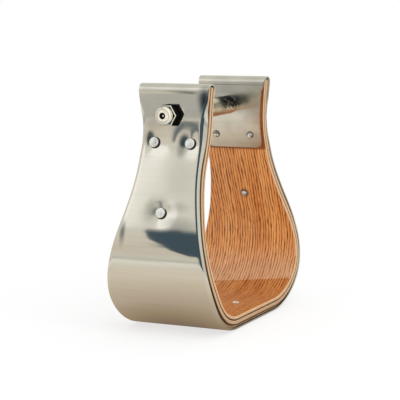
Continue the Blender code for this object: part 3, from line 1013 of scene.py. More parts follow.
def lathe(name, origin, axis, profile, sides=48, closed=False):
    """Turned piece from (height, radius) points along an axis. A closed outline makes a tube."""
    select_none()
    bpy.ops.mesh.primitive_plane_add(size=PLANE)
    turned = bpy.context.object
    turned.name = name
    spots = [origin + axis * height + ACROSS * radius for height, radius in profile]
    if closed:
        spots.append(spots[0])
    edit(turned)
    pick(turned, lambda co: co.x < 0 or co.y < 0)
    bpy.ops.mesh.delete(type="VERT")
    bpy.ops.mesh.select_all(action="SELECT")
    bpy.ops.transform.translate(value=spots[0] - Vector((PLANE / 2, PLANE / 2, 0.0)))
    for before, after in zip(spots, spots[1:]):
        bpy.ops.mesh.extrude_vertices_move(TRANSFORM_OT_translate={"value": after - before})
    bpy.ops.mesh.select_all(action="SELECT")
    bpy.ops.mesh.spin(steps=sides, angle=2 * math.pi, center=origin, axis=axis)
    bpy.ops.mesh.select_all(action="SELECT")
    bpy.ops.mesh.remove_doubles(threshold=MERGE)
    bpy.ops.mesh.normals_make_consistent(inside=False)
    close_edit()
    return turned


trial = lathe("trial_disc", Vector(), UP, [(0.0, 0.0), (0.0, 0.01), (0.002, 0.01), (0.002, 0.0)])
print("Trial disc has", len(trial.data.polygons), "faces")
bpy.data.objects.remove(trial, do_unlink=True)

# %% [markdown]
# ## Rivets and nails
#
# The rivets are soft metal with a low domed head, hammered over a smaller tail on the inside. The rim of a
# head reaches a little way down, into the dent that the hammer left. The nails have small, low heads. Each
# shank really goes through the wall.

# %% Make rivets and nails
RIVET_SHANK = 0.0032
RIVET_HEAD = 0.0072
RIVET_HEAD_HEIGHT = 0.0017
RIVET_TAIL = 0.0050
RIVET_TAIL_HEIGHT = 0.0009
HEAD_GAP = 0.0002
HEAD_SETTLE = 0.00060
NAIL_SHANK = 0.0024
NAIL_HEAD = 0.0044
NAIL_HEAD_HEIGHT = 0.0007
NAIL_POINT_LIFT = 0.0001
DOME_STEPS = 8


def dome(start, height, radius):
    """Heights and radii of a low dome, from its rim to its pole."""
    angles = [math.pi / 2 * k / DOME_STEPS for k in range(DOME_STEPS + 1)]
    return [(start + height * math.sin(a), radius * math.cos(a) if k < DOME_STEPS else 0.0)
            for k, a in enumerate(angles)]


def rivet_axis(side, drop):
    """Outward direction of a rivet."""
    normal = wall_at(drop)[1]
    return Vector((side * normal.x, 0.0, normal.z))


def make_rivet(name, side, drop, y, grip):
    shank = RIVET_SHANK / 2
    seat, tail_seat = HEAD_GAP - HEAD_SETTLE, -grip - HEAD_GAP
    head = dome(HEAD_GAP, RIVET_HEAD_HEIGHT, RIVET_HEAD / 2)
    tail = dome(tail_seat, -RIVET_TAIL_HEIGHT, RIVET_TAIL / 2)
    profile = tail[::-1] + [(tail_seat, shank), (seat, shank), (seat, RIVET_HEAD / 2)] + head
    return lathe(name, wall_place(side, drop, y, 0.0), rivet_axis(side, drop), profile, sides=40)


def make_nail(name, place):
    shank = NAIL_SHANK / 2
    point = NAIL_POINT_LIFT - WALL
    profile = [(point, 0.0), (point, shank), (0.0, shank), (0.0, NAIL_HEAD / 2)]
    return lathe(name, place, UP, profile + dome(HEAD_GAP, NAIL_HEAD_HEIGHT, NAIL_HEAD / 2), sides=32)


for name, (side, drop, y, grip) in RIVETS.items():
    pieces[name] = make_rivet(name, side, drop, y, grip)
for name, place in NAILS.items():
    pieces[name] = make_nail(name, place)
print("Turned", len(RIVETS) + len(NAILS), "rivets and nails")

# %% [markdown]
# ## Bolt, lock nut and roller
#
# The strap hangs on a roller, a plain tube that turns on a bolt. A nut with a nylon ring in its collar locks
# the bolt. The hexagons are cut as in a workshop: the piece is turned first, with its bevelled corners, and
# then a hexagonal bar is intersected with it, which leaves the curved edges every real nut has.

# %% Sizes of the hanger
BOLT_DIAMETER = 0.0079
BOLT_HEAD_HEIGHT = 0.0053
BOLT_PROUD = 0.0003
BOLT_CUP = 0.0042
BOLT_CUP_DEPTH = 0.0012
BOLT_CUP_STEPS = 6
HEX_FLATS = 0.0127
HEX_CHAMFER = 0.0005
NUT_HEX_HEIGHT = 0.0061
NUT_HEIGHT = 0.0098
NUT_COLLAR_WALL = 0.0005
NUT_INSERT_WALL = 0.00045
NUT_INSERT_HEIGHT = 0.0022
THREAD_CLEARANCE = 0.0002
ROLLER_DIAMETER = 0.0127
ROLLER_CLEARANCE = 0.00035
ROLLER_END_GAP = 0.0006
ROLLER_CHAMFER = 0.0004
BRIGHT_BAND = 0.00045
CUP_GLINT = 0.0006
FLAT = HEX_FLATS / 2
HEX_CORNER = FLAT / math.cos(math.pi / 6)
CORNER_FALL = (HEX_CORNER - FLAT) * math.tan(math.pi / 6)
SHANK = BOLT_DIAMETER / 2
BORE = SHANK + THREAD_CLEARANCE
INSERT = BORE + NUT_INSERT_WALL
POCKET = INSERT + THREAD_CLEARANCE
COLLAR = POCKET + NUT_COLLAR_WALL
SEAT_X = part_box("lock_nut")[1].x
print("The nut seats at x =", round(SEAT_X * 1000, 2), "mm and is", HEX_FLATS * 1000, "mm over the flats")


# %% Nut and its ring
def cut_hexagon(obj):
    """Leaves what a hexagonal bar along X shares with a turned piece. A flat is at the top."""
    select_none()
    bpy.ops.mesh.primitive_cylinder_add(vertices=6, radius=HEX_CORNER, depth=2 * BULGE_X,
                                        location=BOLT_CENTRE, rotation=(0.0, math.pi / 2, 0.0))
    bar = bpy.context.object
    bpy.ops.object.transform_apply(location=True, rotation=True)
    apply_modifier(obj, "BOOLEAN", operation="INTERSECT", solver="EXACT", object=bar)
    bpy.data.objects.remove(bar, do_unlink=True)


def mark_bright(obj, is_bright):
    """Marks the bright faces of a turned piece, the worn ends and a painted glint, by their height from the
    seat and their radius.
    """
    marks = obj.data.attributes.new("worn", "FLOAT", "FACE")
    for face in obj.data.polygons:
        off = face.center - BOLT_CENTRE
        marks.data[face.index].value = float(is_bright(abs(off.x) - abs(SEAT_X), math.hypot(off.y, off.z)))


def make_nut():
    floor_height = NUT_HEIGHT - NUT_INSERT_HEIGHT - THREAD_CLEARANCE
    outline = [(0.0, BORE), (0.0, FLAT - HEX_CHAMFER), (HEX_CHAMFER + CORNER_FALL, HEX_CORNER + HEX_CHAMFER),
               (NUT_HEX_HEIGHT - CORNER_FALL, HEX_CORNER + HEX_CHAMFER), (NUT_HEX_HEIGHT, FLAT - HEX_CHAMFER),
               (NUT_HEX_HEIGHT, COLLAR), (NUT_HEIGHT - HEX_CHAMFER, COLLAR),
               (NUT_HEIGHT, COLLAR - HEX_CHAMFER), (NUT_HEIGHT, POCKET), (floor_height, POCKET),
               (floor_height, BORE)]
    seat = Vector((SEAT_X, BOLT_CENTRE.y, BOLT_CENTRE.z))
    nut = lathe("lock_nut", seat, TO_NUT, outline, sides=72, closed=True)
    cut_hexagon(nut)
    mark_bright(nut, lambda height, radius: height > NUT_HEX_HEIGHT + BRIGHT_BAND)
    return nut, seat


def make_insert(seat):
    bottom = NUT_HEIGHT - NUT_INSERT_HEIGHT
    outline = [(bottom, BORE), (bottom, INSERT), (NUT_HEIGHT, INSERT), (NUT_HEIGHT, BORE)]
    return lathe("nut_insert", seat, TO_NUT, outline, closed=True)


pieces["lock_nut"], nut_seat = make_nut()
pieces["nut_insert"] = make_insert(nut_seat)
print("Nut and ring turned")


# %% Bolt and roller
def make_bolt():
    end = NUT_HEIGHT + BOLT_PROUD - SEAT_X
    seat = SEAT_X
    top = seat - BOLT_HEAD_HEIGHT
    angles = [k * math.pi / (2 * BOLT_CUP_STEPS) for k in range(BOLT_CUP_STEPS + 1)]
    cup = [(end - BOLT_CUP_DEPTH * math.cos(a), BOLT_CUP / 2 * math.sin(a)) for a in angles]
    outline = cup + [(end, SHANK - HEX_CHAMFER), (end - HEX_CHAMFER, SHANK), (seat, SHANK),
                     (seat, FLAT - HEX_CHAMFER), (seat - HEX_CHAMFER - CORNER_FALL, HEX_CORNER + HEX_CHAMFER),
                     (top + CORNER_FALL, HEX_CORNER + HEX_CHAMFER), (top, FLAT - HEX_CHAMFER), (top, 0.0)]
    bolt = lathe("hanger_bolt", BOLT_CENTRE, TO_NUT, outline, sides=72)
    cut_hexagon(bolt)
    # The bolt's end is worn bright, its cup is left dark, and a painted glint sits at the cup's middle.
    mark_bright(bolt, lambda height, radius: (height > NUT_HEIGHT - BOLT_CUP_DEPTH
                                            and not CUP_GLINT < radius < BOLT_CUP / 2))
    return bolt


def make_roller():
    end = STRAP_GAP / 2 - ROLLER_END_GAP
    outside = ROLLER_DIAMETER / 2
    bore = SHANK + ROLLER_CLEARANCE
    outline = [(-end, bore), (-end, outside - ROLLER_CHAMFER), (-end + ROLLER_CHAMFER, outside),
               (end - ROLLER_CHAMFER, outside), (end, outside - ROLLER_CHAMFER), (end, bore)]
    return lathe("strap_roller", BOLT_CENTRE, TO_NUT, outline, sides=64, closed=True)


pieces["hanger_bolt"] = make_bolt()
pieces["strap_roller"] = make_roller()
print("Bolt and roller turned")

# %% [markdown]
# ## Comparing with the frame
#
# Every piece is there now. Before anything is drilled, each one's box is held against the box of its node in
# the engineering model, which shows at once where a length was read wrongly.

# %% Compare with the frame
for name, piece in pieces.items():
    low, high = (Vector(f(v.co[k] for v in piece.data.vertices) for k in range(3)) for f in (min, max))
    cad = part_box(name)
    gap = max(max(abs(low[k] - cad[0][k]), abs(high[k] - cad[1][k])) for k in range(3))
    print(name, len(piece.data.polygons), "faces, box off by", round(gap * 1000, 3), "mm")

# %% [markdown]
# ## Holes
#
# Every rivet, nail and bolt passes through the wall, so the plies and the binding are drilled. One set of
# pins, a little thicker than the shanks, is taken out of each of them with a Boolean.

# %% Drill the wall
HOLE_CLEARANCE = 0.00025
BOLT_HOLE_CLEARANCE = 0.0004
PAST = 2 * SHEET


def pin(origin, axis, start, end, radius):
    return lathe("pin", origin, axis, [(start, 0.0), (start, radius), (end, radius), (end, 0.0)], sides=24)


def make_pins():
    pins = [pin(BOLT_CENTRE, TO_NUT, -BULGE_X, BULGE_X, SHANK + BOLT_HOLE_CLEARANCE)]
    for side, drop, y, grip in RIVETS.values():
        place, axis = wall_place(side, drop, y, 0.0), rivet_axis(side, drop)
        pins.append(pin(place, axis, -grip - PAST, PAST, RIVET_SHANK / 2 + HOLE_CLEARANCE))
    for place in NAILS.values():
        pins.append(pin(place, UP, -WALL - PAST, PAST, NAIL_SHANK / 2 + HOLE_CLEARANCE))
    select_none()
    for made in pins:
        made.select_set(True)
    bpy.context.view_layer.objects.active = pins[0]
    bpy.ops.object.join()
    return bpy.context.object


pins = make_pins()
for name in list(PLIES) + ["metal_binding"]:
    apply_modifier(pieces[name], "BOOLEAN", operation="DIFFERENCE", solver="EXACT", object=pins)
    print(name, "drilled, now", len(pieces[name].data.polygons), "faces")
bpy.data.objects.remove(pins, do_unlink=True)

# %% [markdown]
# ## The plies laid flat
#
# A ply was flat before it was bent, and its grain was straight. A UV map that puts every point back at its
# drop lets the finishes draw that straight grain, and the bend carries it round. The cut edges are marked as
# well, because bare edges are paler than the varnished face. Beside the neck plates only the upright part of
# an edge counts, so that the rounding along the metal takes the painted shadow under the plates, not a pale
# line.

# %% Lay the plies flat
EDGE_FACING = 0.7
EDGE_TILT = 0.15
# Beside the neck plates the rounded edge keeps the oak's colour, so the painted shadow under the plates
# reaches it.
PLATE_EDGE_TILT = 0.75


def lay_out(obj, outer):
    """UV map of the wall laid flat: u from front to back and on down the edge, v along the bend."""
    layer = obj.data.uv_layers.get("flat") or obj.data.uv_layers.new(name="flat")
    obj.data.uv_layers.active = layer
    for face in obj.data.polygons:
        on_edge = abs(face.normal.y) > EDGE_FACING
        for loop in face.loop_indices:
            spot = obj.data.vertices[obj.data.loops[loop].vertex_index].co
            drop, depth = wall_coords(spot)
            u = spot.y + math.copysign(depth - outer, spot.y) * on_edge
            v = math.copysign(MIDDLE - drop, face.center.x)
            layer.data[loop].uv = (u / UV_UNIT, v / UV_UNIT)


def mark_edges(obj):
    """Marks the faces on the cut edges of a ply, for a finish of their own."""
    marks = obj.data.attributes.new("cut_edge", "FLOAT", "FACE")
    for face in obj.data.polygons:
        tilt = PLATE_EDGE_TILT if wall_coords(face.center)[0] < PLATE_DROP else EDGE_TILT
        marks.data[face.index].value = float(abs(face.normal.y) > tilt)


for name in PLIES:
    lay_out(pieces[name], LAYERS[name][0])
    mark_edges(pieces[name])
print("Laid flat:", ", ".join(PLIES))

# %% [markdown]
# ## Helpers for patterns
#
# Wood grain and the marks on metal could come from pictures. Here they come from noise, which has no seams
# and stays sharp close up. On the bent strip the noise is laid on the flat UV map, so that it follows the
# bend without stretching.

# %% Helpers for patterns
PATTERN_ROUGH = 0.6
NOISE_MIDDLE = 0.5


def flat_map(tree, across=1.0, along=1.0, shift=0.0):
    """The wall laid flat, stretched to patterns per metre across and along it."""
    where = add_node(tree, "UVMap", {"uv_map": "flat"}).outputs[0]
    scale = (across * UV_UNIT, along * UV_UNIT, 1.0)
    return add_node(tree, "Mapping", Vector=where, Location=(shift, shift, shift), Scale=scale).outputs[0]


def pattern(tree, vector, detail=3.0, scale=1.0):
    """Noise between 0 and 1."""
    return add_node(tree, "TexNoise", Vector=vector, Scale=scale, Detail=detail,
                    Roughness=PATTERN_ROUGH).outputs["Fac"]


def speckle(tree, scale, detail=2.0):
    """Noise in the piece's own coordinates, with a scale per metre."""
    return pattern(tree, own_place(tree), detail, scale)


def bump(tree, shader, height, distance):
    made = add_node(tree, "Bump", Height=height, Distance=distance, Strength=1.0)
    fill(tree, shader, Normal=made.outputs[0])


def from_middle(tree):
    """Length along the strip from the middle of the tread, in metres."""
    return math_node(tree, "ABSOLUTE", axes(tree, flat_map(tree))["Y"])


def spot_mask(tree, spots, edge):
    """Soft oval spots on the strip laid flat, each as (along, across, half length, half width, share)."""
    where = flat_map(tree)
    mask = None
    for along, across, length, width, share in spots:
        off = vector_node(tree, "SUBTRACT", where, (across, along, 0.0))[0]
        away = vector_node(tree, "LENGTH", vector_node(tree, "DIVIDE", off, (width, length, 1.0))[0])["Value"]
        spot = remap(tree, away, 1.0, edge, 0.0, share)
        mask = spot if mask is None else most(tree, mask, spot)
    return mask


def mark(tree, name):
    """A mark that a piece's faces carry."""
    return add_node(tree, "Attribute", {"attribute_name": name}).outputs["Fac"]


print("Pattern helpers ready")

# %% [markdown]
# ## Finish of the oak
#
# The inside is oak under glossy varnish. Its grain runs along the bend: bands of warm and light brown, dark
# lines of open pores about two millimetres apart, and fine dashes between them. The lower bends carry a
# painted pale sheen, standing for a reflection in the varnish, down to a clear edge, and the tread below it
# is darkened with painted shade. A wave texture gives lines with an even spacing, and noise makes them waver
# and break, as plain noise alone would not.

# %% Ground of the oak
OAK_LIGHT = (0.89, 0.415, 0.135)
OAK_WARM = (0.75, 0.290, 0.080)
STRIPE_SCALE = (140.0, 6.0)
STRIPE_MIX = (0.35, 0.65)
# Painted sheen: a pale reflection in the varnish on the lower bends, ending at a slanting edge.
SHEEN_COLOUR = (0.60, 0.38, 0.24)
SHEEN_SHARE = 0.6
SHEEN_TILT = 0.19
SHEEN_LOW = (0.0560, 0.0568)
SHEEN_HIGH = (0.1000, 0.0600)
# Painted shade on the tread, which lies deep inside the bell: where it starts, and its tint.
TREAD_SHADE = (0.0568, 0.0560)
TREAD_SHADE_TINT = (0.70, 0.63, 0.60)


def oak_ground(tree):
    """Colour under the grain, with a painted sheen on the lower bends and painted shade on the tread, and how
    strong the sheen is.
    """
    bands = pattern(tree, flat_map(tree, *STRIPE_SCALE))
    colour = mix_colour(tree, remap(tree, bands, *STRIPE_MIX), OAK_LIGHT, OAK_WARM)
    slant = times(tree, axes(tree, flat_map(tree))["X"], SHEEN_TILT)
    tilted = plus(tree, from_middle(tree), slant)
    # Painted shade: the tread is darkened.
    worn = mix_colour(tree, 1.0, colour, TREAD_SHADE_TINT, "MULTIPLY")
    colour = mix_colour(tree, remap(tree, tilted, *TREAD_SHADE), colour, worn)
    sheen = times(tree, remap(tree, tilted, *SHEEN_LOW), remap(tree, tilted, *SHEEN_HIGH))
    return mix_colour(tree, times(tree, sheen, SHEEN_SHARE), colour, SHEEN_COLOUR), sheen


print("Oak is scuffed from", SHEEN_LOW[0] * 1000, "mm from the middle of the tread")

# %% Grain of the oak
LINE_SPACING = 0.0020
WAVE_PERIOD = math.pi / 10
LINE_SCALE = (WAVE_PERIOD / LINE_SPACING, 30.0, 0.3)
LINE_WAVE = {"Scale": 1.0, "Distortion": 6.5, "Detail": 3.0, "Detail_Scale": 1.3, "Detail_Roughness": 0.65}
LINE_LIMITS = (0.42, 0.95)
SWELL_SCALE = (330.0, 16.0, 6.0)
SWELL = 0.8
BREAK_SCALE = (420.0, 70.0, 2.0)
BREAK_LIMITS = (0.36, 0.60, 0.45, 1.0)
PORE_SCALE = (1500.0, 120.0, 4.0)
PORE_LIMITS = (0.58, 0.70)


def oak_grain(tree):
    """Dark lines of open pores, the noise that breaks them, and the fine pores between them."""
    wave = add_node(tree, "TexWave", {"wave_type": "BANDS", "bands_direction": "X"},
                    Vector=flat_map(tree, *LINE_SCALE), **LINE_WAVE).outputs["Fac"]
    swell = math_node(tree, "SUBTRACT", pattern(tree, flat_map(tree, *SWELL_SCALE)), NOISE_MIDDLE)
    wave = plus(tree, wave, times(tree, swell, SWELL))
    breaks = pattern(tree, flat_map(tree, *BREAK_SCALE))
    lines = times(tree, remap(tree, wave, *LINE_LIMITS), remap(tree, breaks, *BREAK_LIMITS))
    pores = remap(tree, pattern(tree, flat_map(tree, *PORE_SCALE), 1.0), *PORE_LIMITS)
    return lines, breaks, pores


print("Oak lines are", LINE_SPACING * 1000, "mm apart")

# %% Oak
OAK_DARK = (0.20, 0.050, 0.008)
EDGE_PALE = (0.68, 0.48, 0.29)
EDGE_MIX = (0.3, 0.7, 0.0, 0.5)
LINE_SHARES = (0.95, 0.7)
PORE_SHARE = 0.35
STAIN = (0.0, 0.0042, 0.0040, 1.0)
STAIN_EDGE = 0.6
STAIN_LIMITS = (0.35, 0.6, 0.3, 0.9)
# A painted shadow line on the oak just below the lower edge of the neck plates.
PLATE_SHADE = (0.0490, 0.0468)
PLATE_SHADE_SHARE = 0.85
OAK_ROUGH = (0.38, 0.55)
GRAIN_DEPTH = 0.00006
VARNISH = {"Specular_IOR_Level": 0.2, "Coat_Weight": 0.6, "Coat_Roughness": 0.06, "Coat_IOR": 1.5}


def oak_stain_and_shade(tree, breaks):
    """A dark stain round each rivet tail, and a painted shadow line under the neck plates."""
    spots = [(side * (MIDDLE - SIDE_RIVET_DROP), *STAIN) for side in SIDES.values()]
    stain = times(tree, spot_mask(tree, spots, STAIN_EDGE), remap(tree, breaks, *STAIN_LIMITS))
    low, high = (MIDDLE - drop for drop in PLATE_SHADE)
    # Painted shadow below the neck plates.
    return most(tree, stain, remap(tree, from_middle(tree), low, high, 0.0, PLATE_SHADE_SHARE))


def oak_finish():
    made, tree, shader = new_material("varnished_oak")
    colour, sheen = oak_ground(tree)
    lines, breaks, pores = oak_grain(tree)
    drawn = times(tree, lines, remap(tree, sheen, 0.0, 1.0, *LINE_SHARES))
    for share in (drawn, times(tree, pores, PORE_SHARE), oak_stain_and_shade(tree, breaks)):
        colour = mix_colour(tree, share, colour, OAK_DARK)
    pale = mix_colour(tree, remap(tree, breaks, *EDGE_MIX), EDGE_PALE, OAK_WARM)
    open_grain = most(tree, lines, pores)
    fill(tree, shader, Base_Color=mix_colour(tree, mark(tree, "cut_edge"), colour, pale),
         Roughness=remap(tree, open_grain, 0.0, 1.0, *OAK_ROUGH), **VARNISH)
    bump(tree, shader, times(tree, open_grain, -1.0), GRAIN_DEPTH)
    return made


finishes = {"face_oak": oak_finish()}
print("Oak finish made")

# %% [markdown]
# ## Finish of the ply edges
#
# The other plies only show as lines on the cut edge: pale wood, and thin dark bands between. One finish with
# long fibres along the bend serves both, in two pairs of colours, and grows darker towards the tread.

# %% Ply edges
PLY_PALE = (0.65, 0.45, 0.26)
PLY_TAN = (0.50, 0.28, 0.12)
PLY_LOWER_DARK = 0.3
BAND_BROWN = (0.200, 0.090, 0.035)
BAND_DARK = (0.055, 0.020, 0.008)
BAND_LOWER_DARK = 0.9
FIBRE_SCALE = (900.0, 14.0)
FIBRE_DETAIL = 4.0
FIBRE_MIX = (0.3, 0.7, 0.0, 0.6)
FIBRE_ROUGH = (0.2, 0.8, 0.38, 0.55)
FIBRE_DEPTH = 0.00005
EDGE_VARNISH = {"Coat_Weight": 0.5, "Coat_Roughness": 0.2}


def ply_finish(name, first, second, darkening):
    """Edge-grain wood: long fibres along the bend, and a darker cut edge lower down."""
    made, tree, shader = new_material(name)
    fibre = pattern(tree, flat_map(tree, *FIBRE_SCALE), FIBRE_DETAIL)
    lower = remap(tree, from_middle(tree), MIDDLE, MIDDLE / 4)
    colour = mix_colour(tree, remap(tree, fibre, *FIBRE_MIX), first, second)
    colour = mix_colour(tree, times(tree, lower, darkening), colour, second)
    fill(tree, shader, Base_Color=colour, Roughness=remap(tree, fibre, *FIBRE_ROUGH), **EDGE_VARNISH)
    bump(tree, shader, fibre, FIBRE_DEPTH)
    return made


finishes["pale_ply"] = ply_finish("pale_edge_wood", PLY_PALE, PLY_TAN, PLY_LOWER_DARK)
finishes["dark_crossband"] = ply_finish("dark_edge_wood", BAND_BROWN, BAND_DARK, BAND_LOWER_DARK)
print("Wood finishes:", ", ".join(finishes))

# %% [markdown]
# ## Finish of the sheet
#
# The binding is buffed sheet: almost a mirror, with hair-fine marks across the strip that soften the mirror
# in one direction, and a few longer scratches. The folded neck plates are duller. Soft dark patches on the
# near side, mostly round the rivets, are painted reflections of dark things, and a line of painted shade runs
# across the plates below the fold. Apart from these, the colour stays near that of steel, because the room
# gives the metal its light and dark.

# %% Painted reflections, shade and mottle on the sheet
# Painted dark reflections: soft dark spots where dark things are mirrored, each as (drop, across, half
# length, half width, share).
DARK_REFLECTIONS = [(0.0790, -0.0110, 0.0060, 0.0110, 0.30), (0.0975, 0.0250, 0.0120, 0.0030, 0.80),
           (0.0400, -0.0070, 0.0110, 0.0050, 0.60), (0.0580, -0.0080, 0.0300, 0.0170, 0.12),
           (0.0895, -0.0130, 0.0070, 0.0150, 0.45), (0.0245, 0.0130, 0.0070, 0.0110, 0.25),
           (0.0345, 0.0165, 0.0065, 0.0050, 0.75), (0.0815, 0.0075, 0.0095, 0.0055, 0.40),
           (0.0085, -0.0215, 0.0120, 0.0065, 0.85)]
REFLECTION_CORE = 0.1
REFLECTION_MIX = (0.3, 0.6, 0.6, 1.0)
# A line of painted shade along the crease below the fold.
CREASE_DROP = 0.0058
CREASE_WIDTH = 0.0005
CREASE_SHADE = 0.6
CREASE_PLACE = MIDDLE - 2 * FOLD_RADIUS + FOLD_RADIUS * math.pi + CREASE_DROP
MOTTLE_MIX = (0.40, 0.7, 0.0, 0.15)


def sheet_shade_and_mottle(tree, cloud, plate):
    """Painted dark reflections on the near side, a line of painted shade along the crease across the neck
    plates, and a faint mottle on them.
    """
    spots = [(drop - MIDDLE, *rest) for drop, *rest in DARK_REFLECTIONS]
    painted_reflections = times(tree, spot_mask(tree, spots, REFLECTION_CORE), remap(tree, cloud, *REFLECTION_MIX))
    off = math_node(tree, "ABSOLUTE", math_node(tree, "SUBTRACT", from_middle(tree), CREASE_PLACE))
    crease_shade = remap(tree, off, CREASE_WIDTH, 0.0, 0.0, CREASE_SHADE)
    mottle = times(tree, plate, remap(tree, cloud, *MOTTLE_MIX))
    return most(tree, most(tree, painted_reflections, crease_shade), mottle)


print(len(DARK_REFLECTIONS), "smudges on the sheet")

# %% Polished sheet
STEEL = (0.80, 0.79, 0.76)
STEEL_DULL = (0.70, 0.69, 0.66)
# Dark bluish colour of the painted reflections and shade, and of the faint mottle on the plates.
STEEL_SHADE_AND_MOTTLE = (0.10, 0.13, 0.15)
HAIR_SCALE = (25.0, 2600.0)
SCRATCH_SCALE = (18.0, 420.0, 5.0)
CLOUD_SCALE = (45.0, 45.0, 9.0)
SCRATCH_MIX = (0.45, 0.75, 0.0, 0.35)
SHEET_ROUGH = (0.3, 0.7, 0.05, 0.09)
SCRATCH_ROUGH = 0.05
SCRATCH_DEPTH = 0.0000015
PLATE_SATIN = 0.12


def sheet_finish():
    made, tree, shader = new_material("buffed_sheet")
    hair = pattern(tree, flat_map(tree, *HAIR_SCALE), 2.0)
    scratch = pattern(tree, flat_map(tree, *SCRATCH_SCALE))
    cloud = pattern(tree, flat_map(tree, *CLOUD_SCALE), 2.0)
    plate = remap(tree, from_middle(tree), MIDDLE - FOLD_RADIUS, MIDDLE - FOLD_RADIUS / 2)
    colour = mix_colour(tree, remap(tree, scratch, *SCRATCH_MIX), STEEL, STEEL_DULL)
    # Painted dark reflections, painted shade in the crease and a faint mottle over the steel.
    colour = mix_colour(tree, sheet_shade_and_mottle(tree, cloud, plate), colour, STEEL_SHADE_AND_MOTTLE)
    worn = plus(tree, remap(tree, cloud, *SHEET_ROUGH), times(tree, scratch, SCRATCH_ROUGH))
    worn = plus(tree, worn, times(tree, plate, PLATE_SATIN))
    fill(tree, shader, Base_Color=colour, Metallic=1.0, Roughness=worn)
    bump(tree, shader, plus(tree, hair, scratch), SCRATCH_DEPTH)
    return made


finishes["polished_sheet"] = sheet_finish()
print("Sheet finish made")

# %% [markdown]
# ## Finish of the rivets
#
# The rivets and nails are soft metal, bright where they were hammered, with painted shade round the rims of
# the rivet heads and tails, and grime in the nicks. The tails on the inside are dirtier than the heads. A map
# of each one's radius and height tells the finish where its rim and its tail are, so one finish serves them
# all.


# %% Maps of the turned pieces
def turned_map(piece, origin, axis):
    """UV map of a turned piece: u is the distance from its axis, v the height along it."""
    layer = piece.data.uv_layers.get("turned") or piece.data.uv_layers.new(name="turned")
    piece.data.uv_layers.active = layer
    for loop in piece.data.loops:
        off = piece.data.vertices[loop.vertex_index].co - origin
        height = off.dot(axis)
        layer.data[loop.index].uv = ((off - axis * height).length / UV_UNIT, height / UV_UNIT)


for name, (side, drop, y, _) in RIVETS.items():
    turned_map(pieces[name], wall_place(side, drop, y, 0.0), rivet_axis(side, drop))
for name, place in NAILS.items():
    turned_map(pieces[name], place, UP)
print("Maps on", len(RIVETS) + len(NAILS), "rivets and nails")

# %% Rivet finish
RIVET_BRIGHT = (0.93, 0.93, 0.90)
RIVET_GREY = (0.62, 0.62, 0.60)
# Dark of the painted shade round the rims, and of the grime in the nicks and on the tails.
RIVET_GRIME_AND_SHADE = (0.03, 0.028, 0.026)
RIVET_METAL = 0.45
HEAD_RIM = (0.0030, 0.0035)
TAIL_RIM = (0.0015, 0.0025)
MARK_SCALE = 900.0
MARK_MIX = (0.35, 0.7, 0.0, 0.5)
NICK_SCALE = 1300.0
NICK_MIX = (0.62, 0.70, 0.0, 0.7)
BLOW_SCALE = 700.0
BLOW_DEPTH = 0.00008
GRIME_MIX = (0.48, 0.58, 0.0, 0.8)
SATIN_ROUGH = (0.3, 0.7, 0.30, 0.42)


def turned_parts(tree):
    """Distance from the axis and height along it, in metres."""
    parts = axes(tree, add_node(tree, "UVMap", {"uv_map": "turned"}).outputs[0])
    return [times(tree, parts[k], UV_UNIT) for k in (0, 1)]


def rivet_finish():
    made, tree, shader = new_material("hammered_rivet")
    reach, height = turned_parts(tree)
    tail = math_node(tree, "LESS_THAN", height, -WALL / 2)
    # Painted shade round the rim of a head and of a tail, where it meets the metal.
    rim = most(tree, remap(tree, reach, *HEAD_RIM), times(tree, tail, remap(tree, reach, *TAIL_RIM)))
    blows = speckle(tree, BLOW_SCALE, 1.0)
    nicks = remap(tree, speckle(tree, NICK_SCALE, 1.0), *NICK_MIX)
    nicks = most(tree, nicks, times(tree, tail, remap(tree, blows, *GRIME_MIX)))
    marks = speckle(tree, MARK_SCALE)
    colour = mix_colour(tree, remap(tree, marks, *MARK_MIX), RIVET_BRIGHT, RIVET_GREY)
    colour = mix_colour(tree, most(tree, rim, nicks), colour, RIVET_GRIME_AND_SHADE)
    fill(tree, shader, Base_Color=colour, Metallic=RIVET_METAL, Roughness=remap(tree, marks, *SATIN_ROUGH))
    bump(tree, shader, blows, BLOW_DEPTH)
    return made


finishes["rivet_metal"] = rivet_finish()
print("Rivet finish made")

# %% [markdown]
# ## Finish of the hanger
#
# The bolt and the nut are blackened steel, worn bright at the end of the nut and of the bolt. A highlight is
# painted along the front corner of the hexagon and, half as strong, on its face behind the collar, and a
# glint in the middle of the bolt's cup, whose ring is left dark. The marks on the faces say where the ends
# are, and a hexagon measured in the finish itself finds the corner.

# %% Hanger finish
PLATED_BRIGHT = (0.95, 0.91, 0.80)
PLATED_CREAM = (0.84, 0.78, 0.62)
PLATED_BLACK = (0.008, 0.008, 0.008)
PLATED_METAL = 0.25
PLATED_SCALE = 600.0
PLATED_DEPTH = 0.000006
CREAM_SCALE = 250.0
CREAM_MIX = (0.4, 0.7)
FACE_HIGHLIGHT = 0.45
HEX_SINE = math.sin(math.pi / 3)
HEX_COSINE = 0.5
HIGHLIGHT_END = SEAT_X - NUT_HEX_HEIGHT + CORNER_FALL + BRIGHT_BAND / 2


